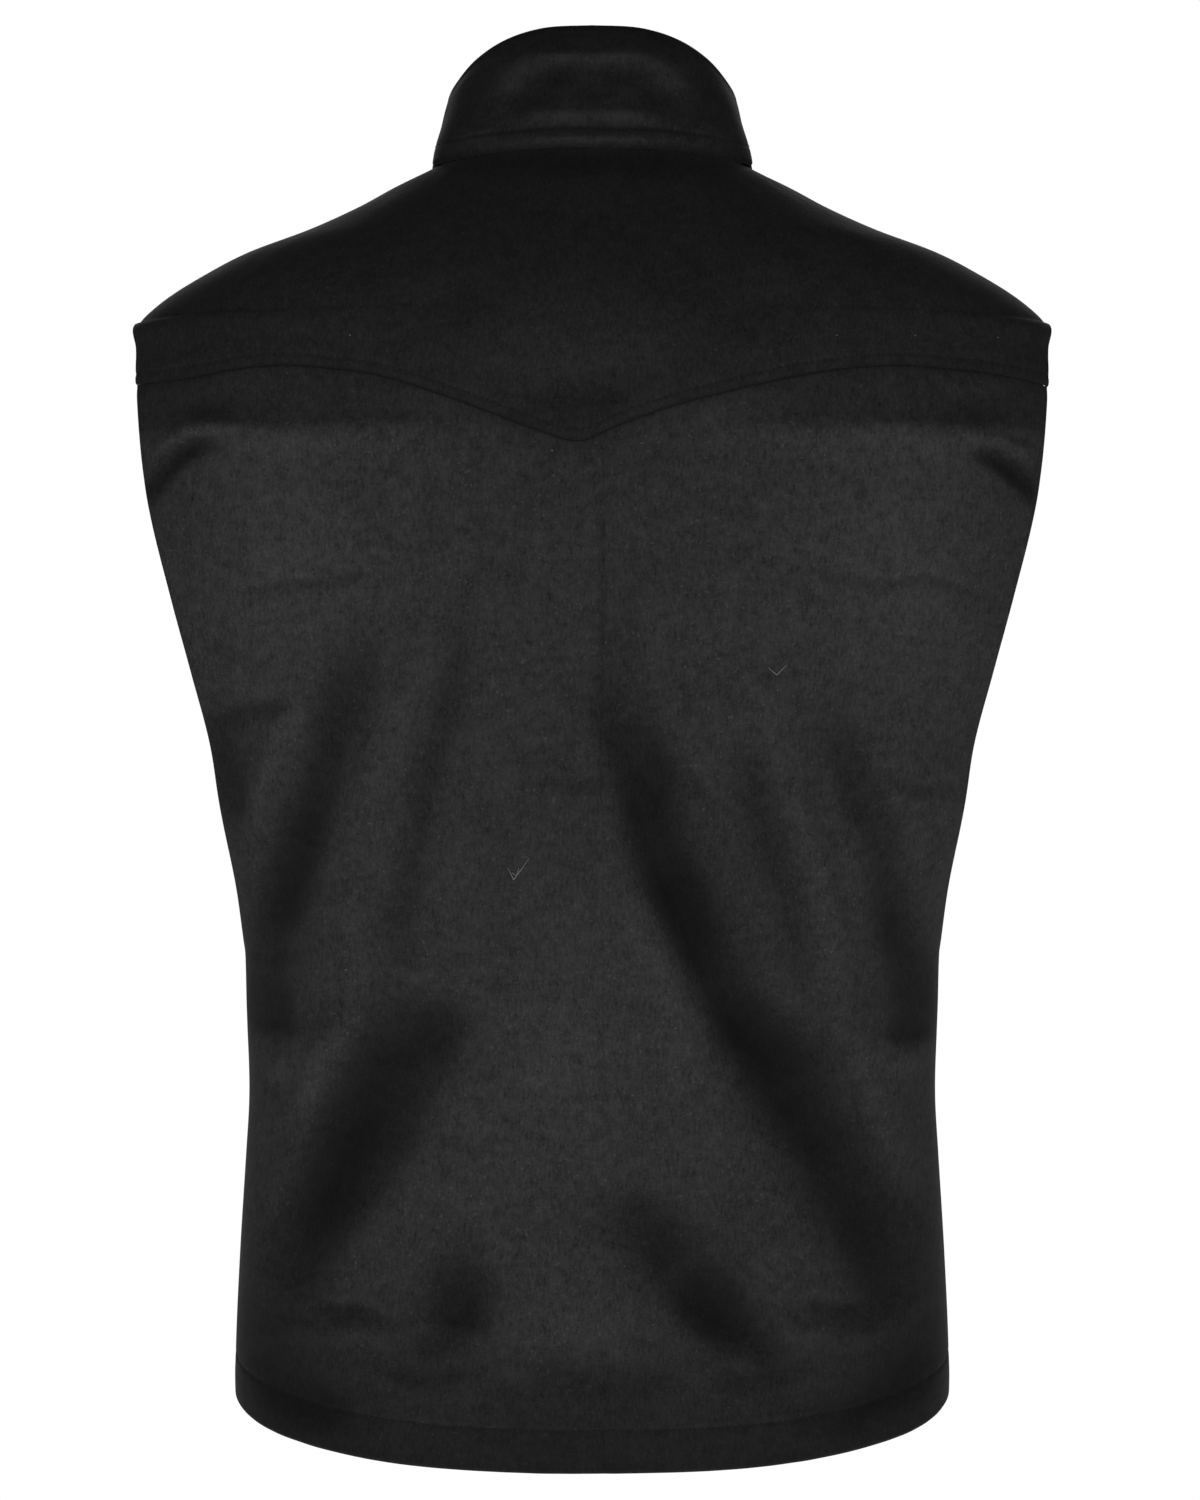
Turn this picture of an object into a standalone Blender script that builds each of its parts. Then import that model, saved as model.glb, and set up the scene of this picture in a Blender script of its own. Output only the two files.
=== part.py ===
import math

import bmesh
import bpy
import numpy as np
from mathutils import Vector

# A sleeveless western vest, filled out with no wearer: metres, up is +Z and the front faces -Y.
# The origin is on the centre plane, level with the side points of the neck.

COLLECTION = "western_vest"
MM = 0.001

# Cloth and seams
WALL = 2.0 * MM
SEAM_GAP = 0.3 * MM
CENTRE_BACK_SEAM = -4.0 * MM
FRONT_LAP = 12.0 * MM
LAP_LIFT = 3.0 * MM
LAP_SLOPE_STARTS = 14.0 * MM
LAP_SLOPE_ENDS = 30.0 * MM

# Heights on the body
HEM = -627.0 * MM
HEM_DIP_BACK = 28.0 * MM
HEM_DIP_FRONT = 16.0 * MM
HEM_SIDE_POWER = 2.6
HEM_MIDDLE_POWER = 1.4
UNDERARM = -403.0 * MM
SHOULDER_TIP = -80.0 * MM
NECK = 1.0 * MM
ARMHOLE_BULGE = 0.10
UNDERARM_POWER = 1.2
TIP_POWER = 0.45
FRONT_ARMHOLE_CUT = 0.03
SEAM_FORWARD = 8.0
TILT_POWER = 1.5

# Body sections, in millimetres: side level, half width at the panel edge, back and front depth,
# squareness, rise of the section at centre back and its drop at centre front.
SECTION_COLUMNS = ("level", "edge", "back", "front", "square", "rise", "drop")
SECTIONS = (
    (-680, 184.0, 117, 121, 2.50, 0, 0),
    (-640, 184.0, 115, 120, 2.50, 0, 0),
    (-610, 183.9, 111, 118, 2.50, 0, 0),
    (-558, 181.8, 106, 115, 2.45, 0, 0),
    (-506, 178.7, 101, 113, 2.40, 0, 0),
    (-480, 177.2, 100, 112, 2.40, 0, 0),
    (-428, 178.6, 104, 115, 2.40, 0, 0),
    (-403, 179.2, 107, 117, 2.40, 0, 0),
    (-375, 181.3, 109, 119, 2.40, 0, 0),
    (-324, 190.0, 112, 121, 2.40, 0, 0),
    (-299, 193.4, 113, 121, 2.40, 0, 0),
    (-260, 203.2, 115, 120, 2.40, 0, 2),
    (-223, 213.1, 118, 118, 2.40, 0, 11),
    (-172, 225.5, 121, 113, 2.35, 0, 28),
    (-121, 231.5, 119, 107, 2.30, 0, 45),
    (-95, 232.8, 116, 104, 2.30, 0, 53),
    (-80, 234.0, 113, 102, 2.30, 1, 57),
    (-71, 225.0, 111, 99, 2.28, 1.5, 59),
    (-56, 202.0, 106, 94, 2.25, 3, 62),
    (-45, 180.5, 101, 91, 2.20, 5, 64),
    (-35, 152.5, 96, 87, 2.15, 7, 65),
    (-24, 126.5, 90, 82, 2.10, 10, 66),
    (-14, 107.0, 84, 76, 2.05, 12, 66),
    (-5, 85.0, 79, 71, 2.00, 16, 66),
    (1, 71.0, 73, 66, 2.00, 21, 65),
)

# Seam between the yoke and the back panels, across from wearer's left to right, in millimetres
YOKE_SEAM_COLUMNS = ("across", "height")
YOKE_SEAM = (
    (-240, -116),
    (-206, -111),
    (-179, -109),
    (-153, -108),
    (-128, -110),
    (-103, -114),
    (-73, -121),
    (-43, -129),
    (-14, -139),
    (6, -147),
    (26, -142),
    (50, -133),
    (80, -122),
    (105, -114),
    (130, -110),
    (150, -108),
    (176, -109),
    (196, -112),
    (240, -114),
)

# Largest folds, in millimetres as seen from that side: start, middle and end of each as across
# and height, half width, and depth with troughs below zero.
FOLD_COLUMNS = ("x1", "z1", "x2", "z2", "x3", "z3", "half_width", "depth")
BACK_FOLDS = (
    (100, -245, 137, -312, 159, -396, 17, -8),
    (83, -250, 105, -320, 128, -425, 17, 4),
    (74, -424, 107, -478, 147, -552, 20, -9),
    (-19, -296, -72, -434, -152, -570, 20, -10),
    (-92, -268, -103, -335, -131, -396, 15, 4),
    (-122, -308, -141, -346, -157, -397, 14, -5),
    (58, -540, 64, -560, 70, -580, 17, -5),
    (-29, -526, -46, -552, -63, -580, 20, -5),
)
FRONT_FOLDS = (
    (-150, -330, -118, -390, -70, -430, 20, -6),
    (150, -320, 122, -372, 84, -425, 20, -7),
    (-70, -480, -105, -530, -135, -590, 20, -6),
    (78, -470, 104, -520, 140, -585, 20, -5),
    (-135, -165, -115, -230, -112, -300, 18, 4),
    (130, -170, 118, -235, 108, -305, 18, 4),
)
FOLD_FADE = 8
FOLD_END = 0.04

# Rows and columns of facets
BACK_COLUMNS = 13
FRONT_COLUMNS = 12
HEM_ROWS = 12
ARMHOLE_ROWS = 14
YOKE_ROWS = 4
SHOULDER_ROWS = 7
ONE_END_POWER = 1.4
BOTH_ENDS_MIX = 0.7
CURVE_STEPS = 72
FOLD_STEPS = 24
NORMAL_TURN = 0.002
NORMAL_STEP = 0.5 * MM
NEAR_MIDDLE = 0.05
SEAM_TRY = -120.0 * MM
SEAM_TRIES = 8

# One-piece turned-down collar: angles are in degrees round the neck from centre back, and
# heights in millimetres.
COLLAR_COLUMNS = ("turn", "roll", "leaf_edge")
COLLAR = (
    (0, 66.3, -5),
    (25, 65.2, -5),
    (40, 61.5, -5),
    (55, 54.8, -3),
    (70, 46.0, -2),
    (90, 36.0, -3),
    (100, 28.0, -7),
    (110, 20.0, -15),
    (120, 10.5, -28),
    (130, 1.0, -46),
    (140, -9.5, -66),
    (150, -20.0, -83),
    (160, -30.0, -96),
    (175, -38.0, -105),
)
COLLAR_ENDS = 172.0
COLLAR_SPREAD = 13.0
COLLAR_SPREAD_POWER = 4
COLLAR_WALL = 2.4 * MM
COLLAR_STATIONS = 38
ROLL_SIDE = 70.5 * MM
ROLL_BACK = 62.0 * MM
ROLL_FRONT = 62.0 * MM
ROLL_RADIUS = 3.6 * MM
ROLL_POINTS = 5
STAND_POINTS = 2
LEAF_POINTS = 3
LEAF_BOW = 1.2 * MM
LEAF_CLEARANCE = 0.8 * MM
STAND_GAP = 0.7 * MM
LEAF_LOWEST = -200.0 * MM
LEVEL_STEPS = 160
SLOPE_STEP = 2.0 * MM

# Buttons
BUTTON_HEIGHTS = (-105, -220, -335, -450, -565)
BUTTON_RADIUS = 9.0 * MM
BUTTON_THICKNESS = 3.2 * MM
BUTTON_BEVEL = 1.1 * MM
BUTTON_SIDES = 20

WOOL_COLOUR = (0.02, 0.02, 0.021, 1.0)
BUTTON_COLOUR = (0.03, 0.028, 0.027, 1.0)


def column(table, columns, name, at):
    """Reads one column of a table smoothly at the wanted places of its first column."""
    rows = np.array(table, float)
    x = rows[:, 0]
    y = rows[:, columns.index(name)]
    slope = np.gradient(y, x)
    at = np.clip(at, x[0], x[-1])
    i = np.clip(np.searchsorted(x, at, side="right") - 1, 0, len(x) - 2)
    step = x[i + 1] - x[i]
    t = (at - x[i]) / step
    start = (1 + 2 * t) * (1 - t) ** 2 * y[i] + t * (1 - t) ** 2 * step * slope[i]
    end = t**2 * (3 - 2 * t) * y[i + 1] - t**2 * (1 - t) * step * slope[i + 1]
    return start + end


def sections_at(levels):
    """Sizes of the body's sections at the wanted levels, in metres."""
    sizes = {name: column(SECTIONS, SECTION_COLUMNS, name, levels / MM) for name in SECTION_COLUMNS}
    up = np.clip((levels - UNDERARM) / (SHOULDER_TIP - UNDERARM), 0, 1)
    power = UNDERARM_POWER + (TIP_POWER - UNDERARM_POWER) * up
    sizes["armhole"] = np.clip(np.sin(math.pi * up), 0, 1) ** power
    sizes["edge"] = sizes["edge"] * MM
    sizes["half"] = sizes["edge"] * (1 + ARMHOLE_BULGE * sizes["armhole"])
    sizes["level"] = levels
    return sizes


def edge_turns(sizes):
    """Turn from centre back to the back panel's edge and to the front panel's edge."""
    forward = np.clip((sizes["level"] - SHOULDER_TIP) / (NECK - SHOULDER_TIP), 0, 1)
    forward = np.radians(SEAM_FORWARD) * forward
    cut = 1 - FRONT_ARMHOLE_CUT * sizes["armhole"]
    back = np.arcsin(np.clip(sizes["edge"] / sizes["half"], 0, 1) ** (sizes["square"] / 2))
    front = np.arcsin(np.clip(cut * sizes["edge"] / sizes["half"], 0, 1) ** (sizes["square"] / 2))
    return back + forward, math.pi - front + forward


def on_section(sizes, turn):
    """Point of the smooth body at a turn from centre back, and its outward way."""
    behind = np.cos(turn) >= 0
    square = sizes["square"]
    half = sizes["half"]
    depth = MM * np.where(behind, sizes["back"], sizes["front"])
    tilt = MM * np.where(behind, sizes["rise"], -sizes["drop"])
    across = np.abs(np.sin(turn)) ** (2 / square)
    along = np.abs(np.cos(turn)) ** (2 / square)
    side = np.where(np.sin(turn) < 0, -1.0, 1.0)
    sign = np.where(behind, 1.0, -1.0)
    height = sizes["level"] + tilt * along**TILT_POWER
    point = np.stack([side * half * across, sign * depth * along, height], -1)
    way_x = side * across ** (square - 1) / half
    way_y = sign * along ** (square - 1) / depth
    length = np.hypot(way_x, way_y)
    return point, way_x / length, way_y / length


def fold_depth(folds, x, z):
    """Sum of the folds at places seen from that side of the body."""
    total = np.zeros_like(x)
    steps = np.linspace(0, 1, FOLD_STEPS)
    first = (1 - steps) * (1 - 2 * steps)
    second = 4 * steps * (1 - steps)
    third = steps * (2 * steps - 1)
    for row in folds:
        fold = dict(zip(FOLD_COLUMNS, row))
        path_x = first * fold["x1"] + second * fold["x2"] + third * fold["x3"]
        path_z = first * fold["z1"] + second * fold["z2"] + third * fold["z3"]
        away = np.hypot(x[..., None] / MM - path_x, z[..., None] / MM - path_z)
        along = np.clip(steps[away.argmin(-1)], FOLD_END, 1 - FOLD_END)
        fade = np.sqrt(np.sin(math.pi * along))
        total += MM * fold["depth"] * fade * np.exp(-((away.min(-1) / fold["half_width"]) ** 2))
    return total


def skin(face, level, turn):
    """Outer surface at a level and a turn from centre back, with its folds."""
    sizes = sections_at(level)
    point, way_x, way_y = on_section(sizes, turn)
    x, y, z = point[..., 0], point[..., 1], point[..., 2]
    inside = 1 - np.clip(np.abs(x) / sizes["edge"], 0, 1) ** FOLD_FADE
    depth = inside * fold_depth(BACK_FOLDS if face == "back" else FRONT_FOLDS, x, z)
    x = x + way_x * depth
    y = y + way_y * depth
    if face == "front_left":
        t = np.clip((LAP_SLOPE_ENDS - x) / (LAP_SLOPE_ENDS - LAP_SLOPE_STARTS), 0, 1)
        y = y - LAP_LIFT * t * t * (3 - 2 * t)
    return np.stack([x, y, z], -1)


def turn_at(face, level, across):
    """Turn at a share of the way from the centre, 0, to the panel's left or right edge, 1 or -1."""
    sizes = sections_at(level)
    back_end, front_end = edge_turns(sizes)
    start = 0.0 if face == "back" else math.pi
    end = back_end if face == "back" else front_end
    turns = start + (end - start)[..., None] * np.linspace(0, 1, CURVE_STEPS)
    points = on_section({name: size[..., None] for name, size in sizes.items()}, turns)[0]
    lengths = np.linalg.norm(np.diff(points, axis=-2), axis=-1).cumsum(-1)
    lengths = np.concatenate([np.zeros_like(lengths[..., :1]), lengths], -1)
    wanted = np.abs(across) * lengths[..., -1]
    i = np.clip((lengths < wanted[..., None]).sum(-1) - 1, 0, CURVE_STEPS - 2)
    low = np.take_along_axis(lengths, i[..., None], -1)[..., 0]
    high = np.take_along_axis(lengths, i[..., None] + 1, -1)[..., 0]
    part = (i + (wanted - low) / (high - low)) / (CURVE_STEPS - 1)
    turn = start + (end - start) * part
    return np.where(across < 0, -turn, turn)


def surface(face, level, across):
    """Points of the outer surface, and unit normals that point away from the hollow."""
    level, across = np.broadcast_arrays(np.asarray(level, float), np.asarray(across, float))
    turn = turn_at(face, level, across)
    round_it = skin(face, level, turn + NORMAL_TURN) - skin(face, level, turn - NORMAL_TURN)
    up = skin(face, level + NORMAL_STEP, turn) - skin(face, level - NORMAL_STEP, turn)
    normal = np.cross(up, round_it)
    return skin(face, level, turn), normal / np.linalg.norm(normal, axis=-1, keepdims=True)


def hem(across, dip):
    return HEM - dip * (1 - np.abs(across) ** HEM_SIDE_POWER) ** HEM_MIDDLE_POWER


def seam_levels(across):
    """Level of the yoke seam for each share across the back."""
    level = np.full_like(across, SEAM_TRY)
    for _ in range(SEAM_TRIES):
        x = surface("back", level, across)[0][..., 0]
        level = MM * column(YOKE_SEAM, YOKE_SEAM_COLUMNS, "height", x / MM)
    return level


def rows_between(low, high, count, closer=None):
    """Rows from one level to another, closer together at the low end, the high end or both."""
    share = np.linspace(0, 1, count + 1)[:, None]
    if closer == "low":
        share = share**ONE_END_POWER
    if closer == "high":
        share = 1 - (1 - share) ** ONE_END_POWER
    if closer == "both":
        share = BOTH_ENDS_MIX * (1 - np.cos(math.pi * share)) / 2 + (1 - BOTH_ENDS_MIX) * share
    return low + (high - low) * share


def stack(*blocks):
    """Joins blocks of rows that share their border rows."""
    return np.concatenate([blocks[0]] + [block[1:] for block in blocks[1:]])


def make_object(name, verts, faces, material):
    mesh = bpy.data.meshes.new(name)
    mesh.from_pydata([tuple(v) for v in verts], [], faces)
    work = bmesh.new()
    work.from_mesh(mesh)
    bmesh.ops.recalc_face_normals(work, faces=work.faces)
    work.to_mesh(mesh)
    work.free()
    mesh.materials.append(material)
    obj = bpy.data.objects.new(name, mesh)
    parts.objects.link(obj)
    return obj


def loft(name, outer, inner, material):
    """Closed wall between two grids of points: both faces and the four borders."""
    rows, columns = outer.shape[:2]
    verts = np.concatenate([outer.reshape(-1, 3), inner.reshape(-1, 3)])
    second = rows * columns
    faces = []
    for j in range(rows - 1):
        for i in range(columns - 1):
            a = j * columns + i
            b = a + columns
            faces.append((a, a + 1, b + 1, b))
            faces.append((second + a, second + b, second + b + 1, second + a + 1))
    border = [i for i in range(columns)]
    border += [j * columns + columns - 1 for j in range(1, rows)]
    border += [(rows - 1) * columns + i for i in range(columns - 2, -1, -1)]
    border += [j * columns for j in range(rows - 2, 0, -1)]
    for a, b in zip(border, border[1:] + border[:1]):
        faces.append((a, b, second + b, second + a))
    return make_object(name, verts, faces, material)


def panel(name, face, levels, across, material):
    """A cloth panel, half a seam gap back from each of its borders."""
    levels = levels.copy()
    across = across.copy()
    whole = surface(face, levels, across)[0]
    first = np.linalg.norm(whole[:, 1] - whole[:, 0], axis=-1)
    last = np.linalg.norm(whole[:, -1] - whole[:, -2], axis=-1)
    across[:, 0] += (across[:, 1] - across[:, 0]) * SEAM_GAP / 2 / first
    across[:, -1] -= (across[:, -1] - across[:, -2]) * SEAM_GAP / 2 / last
    levels[0] += SEAM_GAP / 2
    levels[-1] -= SEAM_GAP / 2
    outer, normal = surface(face, levels, across)
    return loft(name, outer, outer - WALL * normal, material)


def seam_share(x):
    """Share across the back at which the centre back seam runs."""
    edge = surface("back", UNDERARM, 1.0)[0]
    return x / math.hypot(edge[0], edge[1])


def build_back(material):
    split = seam_share(CENTRE_BACK_SEAM)
    for name, edge in (("back_left", 1.0), ("back_right", -1.0)):
        across = np.linspace(split, edge, BACK_COLUMNS + 1)
        top = seam_levels(across)
        lower = rows_between(hem(across, HEM_DIP_BACK), np.full_like(across, UNDERARM), HEM_ROWS)
        upper = rows_between(np.full_like(across, UNDERARM), top, ARMHOLE_ROWS, "low")
        levels = stack(lower, upper)
        panel(name, "back", levels, np.tile(across, (len(levels), 1)), material)


def build_yoke(material):
    split = seam_share(CENTRE_BACK_SEAM)
    left = np.linspace(split, 1.0, BACK_COLUMNS + 1)
    right = np.linspace(-1.0, split, BACK_COLUMNS + 1)
    across = np.concatenate([right, left[1:]])
    tip = np.full_like(across, SHOULDER_TIP)
    lower = rows_between(seam_levels(across), tip, YOKE_ROWS, "high")
    upper = rows_between(tip, np.full_like(across, NECK), SHOULDER_ROWS, "high")
    levels = stack(lower, upper)
    panel("back_yoke", "back", levels, np.tile(across, (len(levels), 1)), material)


def build_fronts(material):
    for name, way in (("front_left", 1.0), ("front_right", -1.0)):
        share = np.linspace(0, 1, FRONT_COLUMNS + 1)
        tip = np.full_like(share, SHOULDER_TIP)
        underarm = np.full_like(share, UNDERARM)
        lower = rows_between(hem(share, HEM_DIP_FRONT), underarm, HEM_ROWS)
        middle = rows_between(underarm, tip, ARMHOLE_ROWS + YOKE_ROWS, "both")
        upper = rows_between(tip, np.full_like(share, NECK), SHOULDER_ROWS, "high")
        levels = stack(lower, middle, upper)
        near_middle = surface("front_right", levels, np.full_like(levels, NEAR_MIDDLE))[0][..., 0]
        lap = NEAR_MIDDLE * FRONT_LAP / near_middle
        across = way * (share - (1 - share) * lap)
        panel(name, name, levels, across, material)


def collar_row(name, turn):
    return column(COLLAR, COLLAR_COLUMNS, name, np.abs(turn))


def body_radius(turn, height):
    """How far out the body's surface is from the neck's middle at a height, and its slope."""
    sizes = sections_at(np.linspace(NECK, LEAF_LOWEST, LEVEL_STEPS))
    behind = abs(turn) <= 90
    depth = MM * sizes["back" if behind else "front"]
    tilt = MM * (sizes["rise"] if behind else -sizes["drop"])
    square = sizes["square"]
    s = abs(math.sin(math.radians(turn)))
    c = abs(math.cos(math.radians(turn)))
    radius = ((s / sizes["half"]) ** square + (c / depth) ** square) ** (-1 / square)
    z = sizes["level"] + tilt * (radius * c / depth) ** TILT_POWER
    at = np.interp(-height, -z, radius)
    below = np.interp(-(height - SLOPE_STEP), -z, radius)
    return at, (below - at) / SLOPE_STEP, radius[0], z[0]


def collar_spread(turn):
    """How far the leaf's edge lies back from its roll, in degrees, so that the ends spread."""
    return COLLAR_SPREAD * (abs(turn) / COLLAR_ENDS) ** COLLAR_SPREAD_POWER


def collar_profile(turn):
    """Middle line of the collar's cloth at one turn round the neck, as radius and height."""
    edge_z = MM * collar_row("leaf_edge", turn)
    leaf_turn = abs(turn) - collar_spread(turn)
    edge_r, lean, _, _ = body_radius(leaf_turn, edge_z)
    _, _, ring_r, ring_z = body_radius(turn, 0.0)
    out = Vector((1.0, lean)).normalized()
    away = LEAF_CLEARANCE + COLLAR_WALL / 2
    leaf = Vector((edge_r, edge_z)) + away * out
    s = math.sin(math.radians(turn))
    c = math.cos(math.radians(turn))
    roll_depth = ROLL_BACK if c >= 0 else ROLL_FRONT
    roll_r = 1 / math.hypot(s / ROLL_SIDE, c / roll_depth)
    roll_z = MM * collar_row("roll", turn) - ROLL_RADIUS - COLLAR_WALL / 2
    roll = Vector((roll_r, roll_z))
    foot = Vector((ring_r - COLLAR_WALL / 2, ring_z + STAND_GAP))
    line = [foot.lerp(roll - Vector((ROLL_RADIUS, 0)), i / STAND_POINTS) for i in range(STAND_POINTS)]
    for i in range(ROLL_POINTS + 1):
        a = math.pi * (1 - i / ROLL_POINTS)
        line.append(roll + ROLL_RADIUS * Vector((math.cos(a), math.sin(a))))
    start = line[-1]
    for i in range(1, LEAF_POINTS + 1):
        share = i / LEAF_POINTS
        line.append(start.lerp(leaf, share) + Vector((LEAF_BOW * math.sin(math.pi * share), 0)))
    return line


def build_collar(material):
    outer = []
    inner = []
    for turn in np.linspace(-COLLAR_ENDS, COLLAR_ENDS, COLLAR_STATIONS + 1):
        line = collar_profile(turn)
        first = []
        second = []
        for i, point in enumerate(line):
            ahead = line[min(i + 1, len(line) - 1)] - line[max(i - 1, 0)]
            side = Vector((-ahead.y, ahead.x)).normalized() * COLLAR_WALL / 2
            if i == 0:
                side = Vector((-COLLAR_WALL / 2, 0))
            share = max(0, i - STAND_POINTS - ROLL_POINTS) / LEAF_POINTS
            angle = math.radians(turn - math.copysign(share * collar_spread(turn), turn))
            for found, place in ((first, point + side), (second, point - side)):
                found.append((place.x * math.sin(angle), place.x * math.cos(angle), place.y))
        outer.append(first)
        inner.append(second)
    loft("collar", np.array(outer), np.array(inner), material)


def build_buttons(material):
    for number, height in enumerate(BUTTON_HEIGHTS, 1):
        levels = np.linspace(HEM, NECK, LEVEL_STEPS)
        heights = surface("front_left", levels, 0.0)[0][:, 2]
        level = np.interp(height * MM, heights, levels)
        place, normal = (Vector(found) for found in surface("front_left", level, 0.0))
        work = bmesh.new()
        bmesh.ops.create_cone(
            work,
            cap_ends=True,
            segments=BUTTON_SIDES,
            radius1=BUTTON_RADIUS,
            radius2=BUTTON_RADIUS,
            depth=BUTTON_THICKNESS,
        )
        mesh = bpy.data.meshes.new(f"button_{number}")
        work.to_mesh(mesh)
        work.free()
        mesh.materials.append(material)
        button = bpy.data.objects.new(mesh.name, mesh)
        parts.objects.link(button)
        button.location = place + normal * (SEAM_GAP + BUTTON_THICKNESS / 2)
        button.rotation_euler = normal.to_track_quat("Z", "Y").to_euler()
        bevel = button.modifiers.new("Rounded rim", "BEVEL")
        bevel.width = BUTTON_BEVEL
        bevel.segments = 1
        bevel.limit_method = "ANGLE"


def make_material(name, colour, roughness):
    material = bpy.data.materials.new(name)
    material.use_nodes = True
    shader = material.node_tree.nodes["Principled BSDF"]
    shader.inputs["Base Color"].default_value = colour
    shader.inputs["Roughness"].default_value = roughness
    return material


for old in list(bpy.data.objects):
    bpy.data.objects.remove(old, do_unlink=True)
parts = bpy.data.collections.new(COLLECTION)
bpy.context.scene.collection.children.link(parts)
wool = make_material("black_wool", WOOL_COLOUR, 0.9)
horn = make_material("button_plastic", BUTTON_COLOUR, 0.4)
build_back(wool)
build_yoke(wool)
build_fronts(wool)
build_collar(wool)
build_buttons(horn)
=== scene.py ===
import math

import bmesh
import bpy
import numpy as np
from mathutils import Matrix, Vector


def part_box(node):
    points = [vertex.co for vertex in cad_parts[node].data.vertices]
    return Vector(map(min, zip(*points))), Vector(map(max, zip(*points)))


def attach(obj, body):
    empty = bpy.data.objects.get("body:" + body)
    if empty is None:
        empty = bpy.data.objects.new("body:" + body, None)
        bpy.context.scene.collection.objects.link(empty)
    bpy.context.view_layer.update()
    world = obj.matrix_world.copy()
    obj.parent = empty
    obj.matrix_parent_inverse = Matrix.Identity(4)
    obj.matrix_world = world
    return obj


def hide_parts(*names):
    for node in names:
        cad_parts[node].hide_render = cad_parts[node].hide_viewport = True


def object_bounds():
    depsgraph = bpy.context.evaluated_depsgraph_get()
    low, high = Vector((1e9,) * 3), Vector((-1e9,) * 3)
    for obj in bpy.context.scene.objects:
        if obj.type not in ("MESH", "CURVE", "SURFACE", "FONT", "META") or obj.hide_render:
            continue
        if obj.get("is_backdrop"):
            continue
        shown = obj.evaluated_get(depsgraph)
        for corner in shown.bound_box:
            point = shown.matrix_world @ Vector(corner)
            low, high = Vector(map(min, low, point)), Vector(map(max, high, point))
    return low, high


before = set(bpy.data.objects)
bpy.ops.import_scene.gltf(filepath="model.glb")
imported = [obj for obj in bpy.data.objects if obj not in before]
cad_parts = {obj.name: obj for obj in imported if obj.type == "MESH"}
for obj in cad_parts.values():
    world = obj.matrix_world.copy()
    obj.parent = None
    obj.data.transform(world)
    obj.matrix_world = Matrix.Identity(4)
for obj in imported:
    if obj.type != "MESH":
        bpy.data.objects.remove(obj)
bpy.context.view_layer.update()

# The body of the vest. Every panel of cloth lies on the same filled-out form, read from one table
# of level sections: half width at the panel edge, depth behind and in front, how square it is, and
# how far the section rises at centre back and drops at centre front, in millimetres.
MM = 0.001
HEM = -627.0
UNDERARM = -403.0
SHOULDER_TIP = -80.0
NECK = 1.0
ARMHOLE_BULGE = 0.10
ARMHOLE_POWER = 1.2
ARMHOLE_POWER_DROP = 0.75
FRONT_ARMHOLE_CUT = 0.03
SEAM_FORWARD = math.radians(8.0)
TILT_POWER = 1.5
CURVE_STEPS = 71
SECTION = ("level", "edge", "back", "front", "square", "rise", "drop")
SECTIONS = (
    (-680, 184.0, 117, 121, 2.50, 0, 0),
    (-640, 184.0, 115, 120, 2.50, 0, 0),
    (-610, 183.9, 111, 118, 2.50, 0, 0),
    (-558, 181.8, 106, 115, 2.45, 0, 0),
    (-506, 178.7, 101, 113, 2.40, 0, 0),
    (-480, 177.2, 100, 112, 2.40, 0, 0),
    (-428, 178.6, 104, 115, 2.40, 0, 0),
    (-403, 179.2, 107, 117, 2.40, 0, 0),
    (-375, 181.3, 109, 119, 2.40, 0, 0),
    (-324, 190.0, 112, 121, 2.40, 0, 0),
    (-299, 193.4, 113, 121, 2.40, 0, 0),
    (-260, 203.2, 115, 120, 2.40, 0, 2),
    (-223, 213.1, 118, 118, 2.40, 0, 11),
    (-172, 225.5, 121, 113, 2.35, 0, 28),
    (-121, 231.5, 119, 107, 2.30, 0, 45),
    (-95, 232.8, 116, 104, 2.30, 0, 53),
    (-80, 234.0, 113, 102, 2.30, 1, 57),
    (-71, 225.0, 111, 99, 2.28, 1.5, 59),
    (-56, 202.0, 106, 94, 2.25, 3, 62),
    (-45, 180.5, 101, 91, 2.20, 5, 64),
    (-35, 152.5, 96, 87, 2.15, 7, 65),
    (-24, 126.5, 90, 82, 2.10, 10, 66),
    (-14, 107.0, 84, 76, 2.05, 12, 66),
    (-5, 85.0, 79, 71, 2.00, 16, 66),
    (1, 71.0, 73, 66, 2.00, 21, 65),
)


def read(table, columns, name, at):
    """Reads one column of a table smoothly at the wanted places of its first column."""
    rows = np.array(table, float)
    x, y = rows[:, 0], rows[:, columns.index(name)]
    slope = np.gradient(y, x)
    at = np.clip(at, x[0], x[-1])
    i = np.clip(np.searchsorted(x, at, side="right") - 1, 0, len(x) - 2)
    step = x[i + 1] - x[i]
    t = (at - x[i]) / step
    start = (1 + 2 * t) * (1 - t) ** 2 * y[i] + t * (1 - t) ** 2 * step * slope[i]
    end = t**2 * (3 - 2 * t) * y[i + 1] - t**2 * (1 - t) * step * slope[i + 1]
    return start + end


def section_at(level):
    """Every size of the body at some levels, by name."""
    sizes = {name: read(SECTIONS, SECTION, name, level) for name in SECTION}
    up = np.clip((level - UNDERARM) / (SHOULDER_TIP - UNDERARM), 0, 1)
    sizes["armhole"] = np.clip(np.sin(math.pi * up), 0, 1) ** (ARMHOLE_POWER - ARMHOLE_POWER_DROP * up)
    sizes["half"] = sizes["edge"] * (1 + ARMHOLE_BULGE * sizes["armhole"])
    sizes["level"] = level
    return sizes


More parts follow.
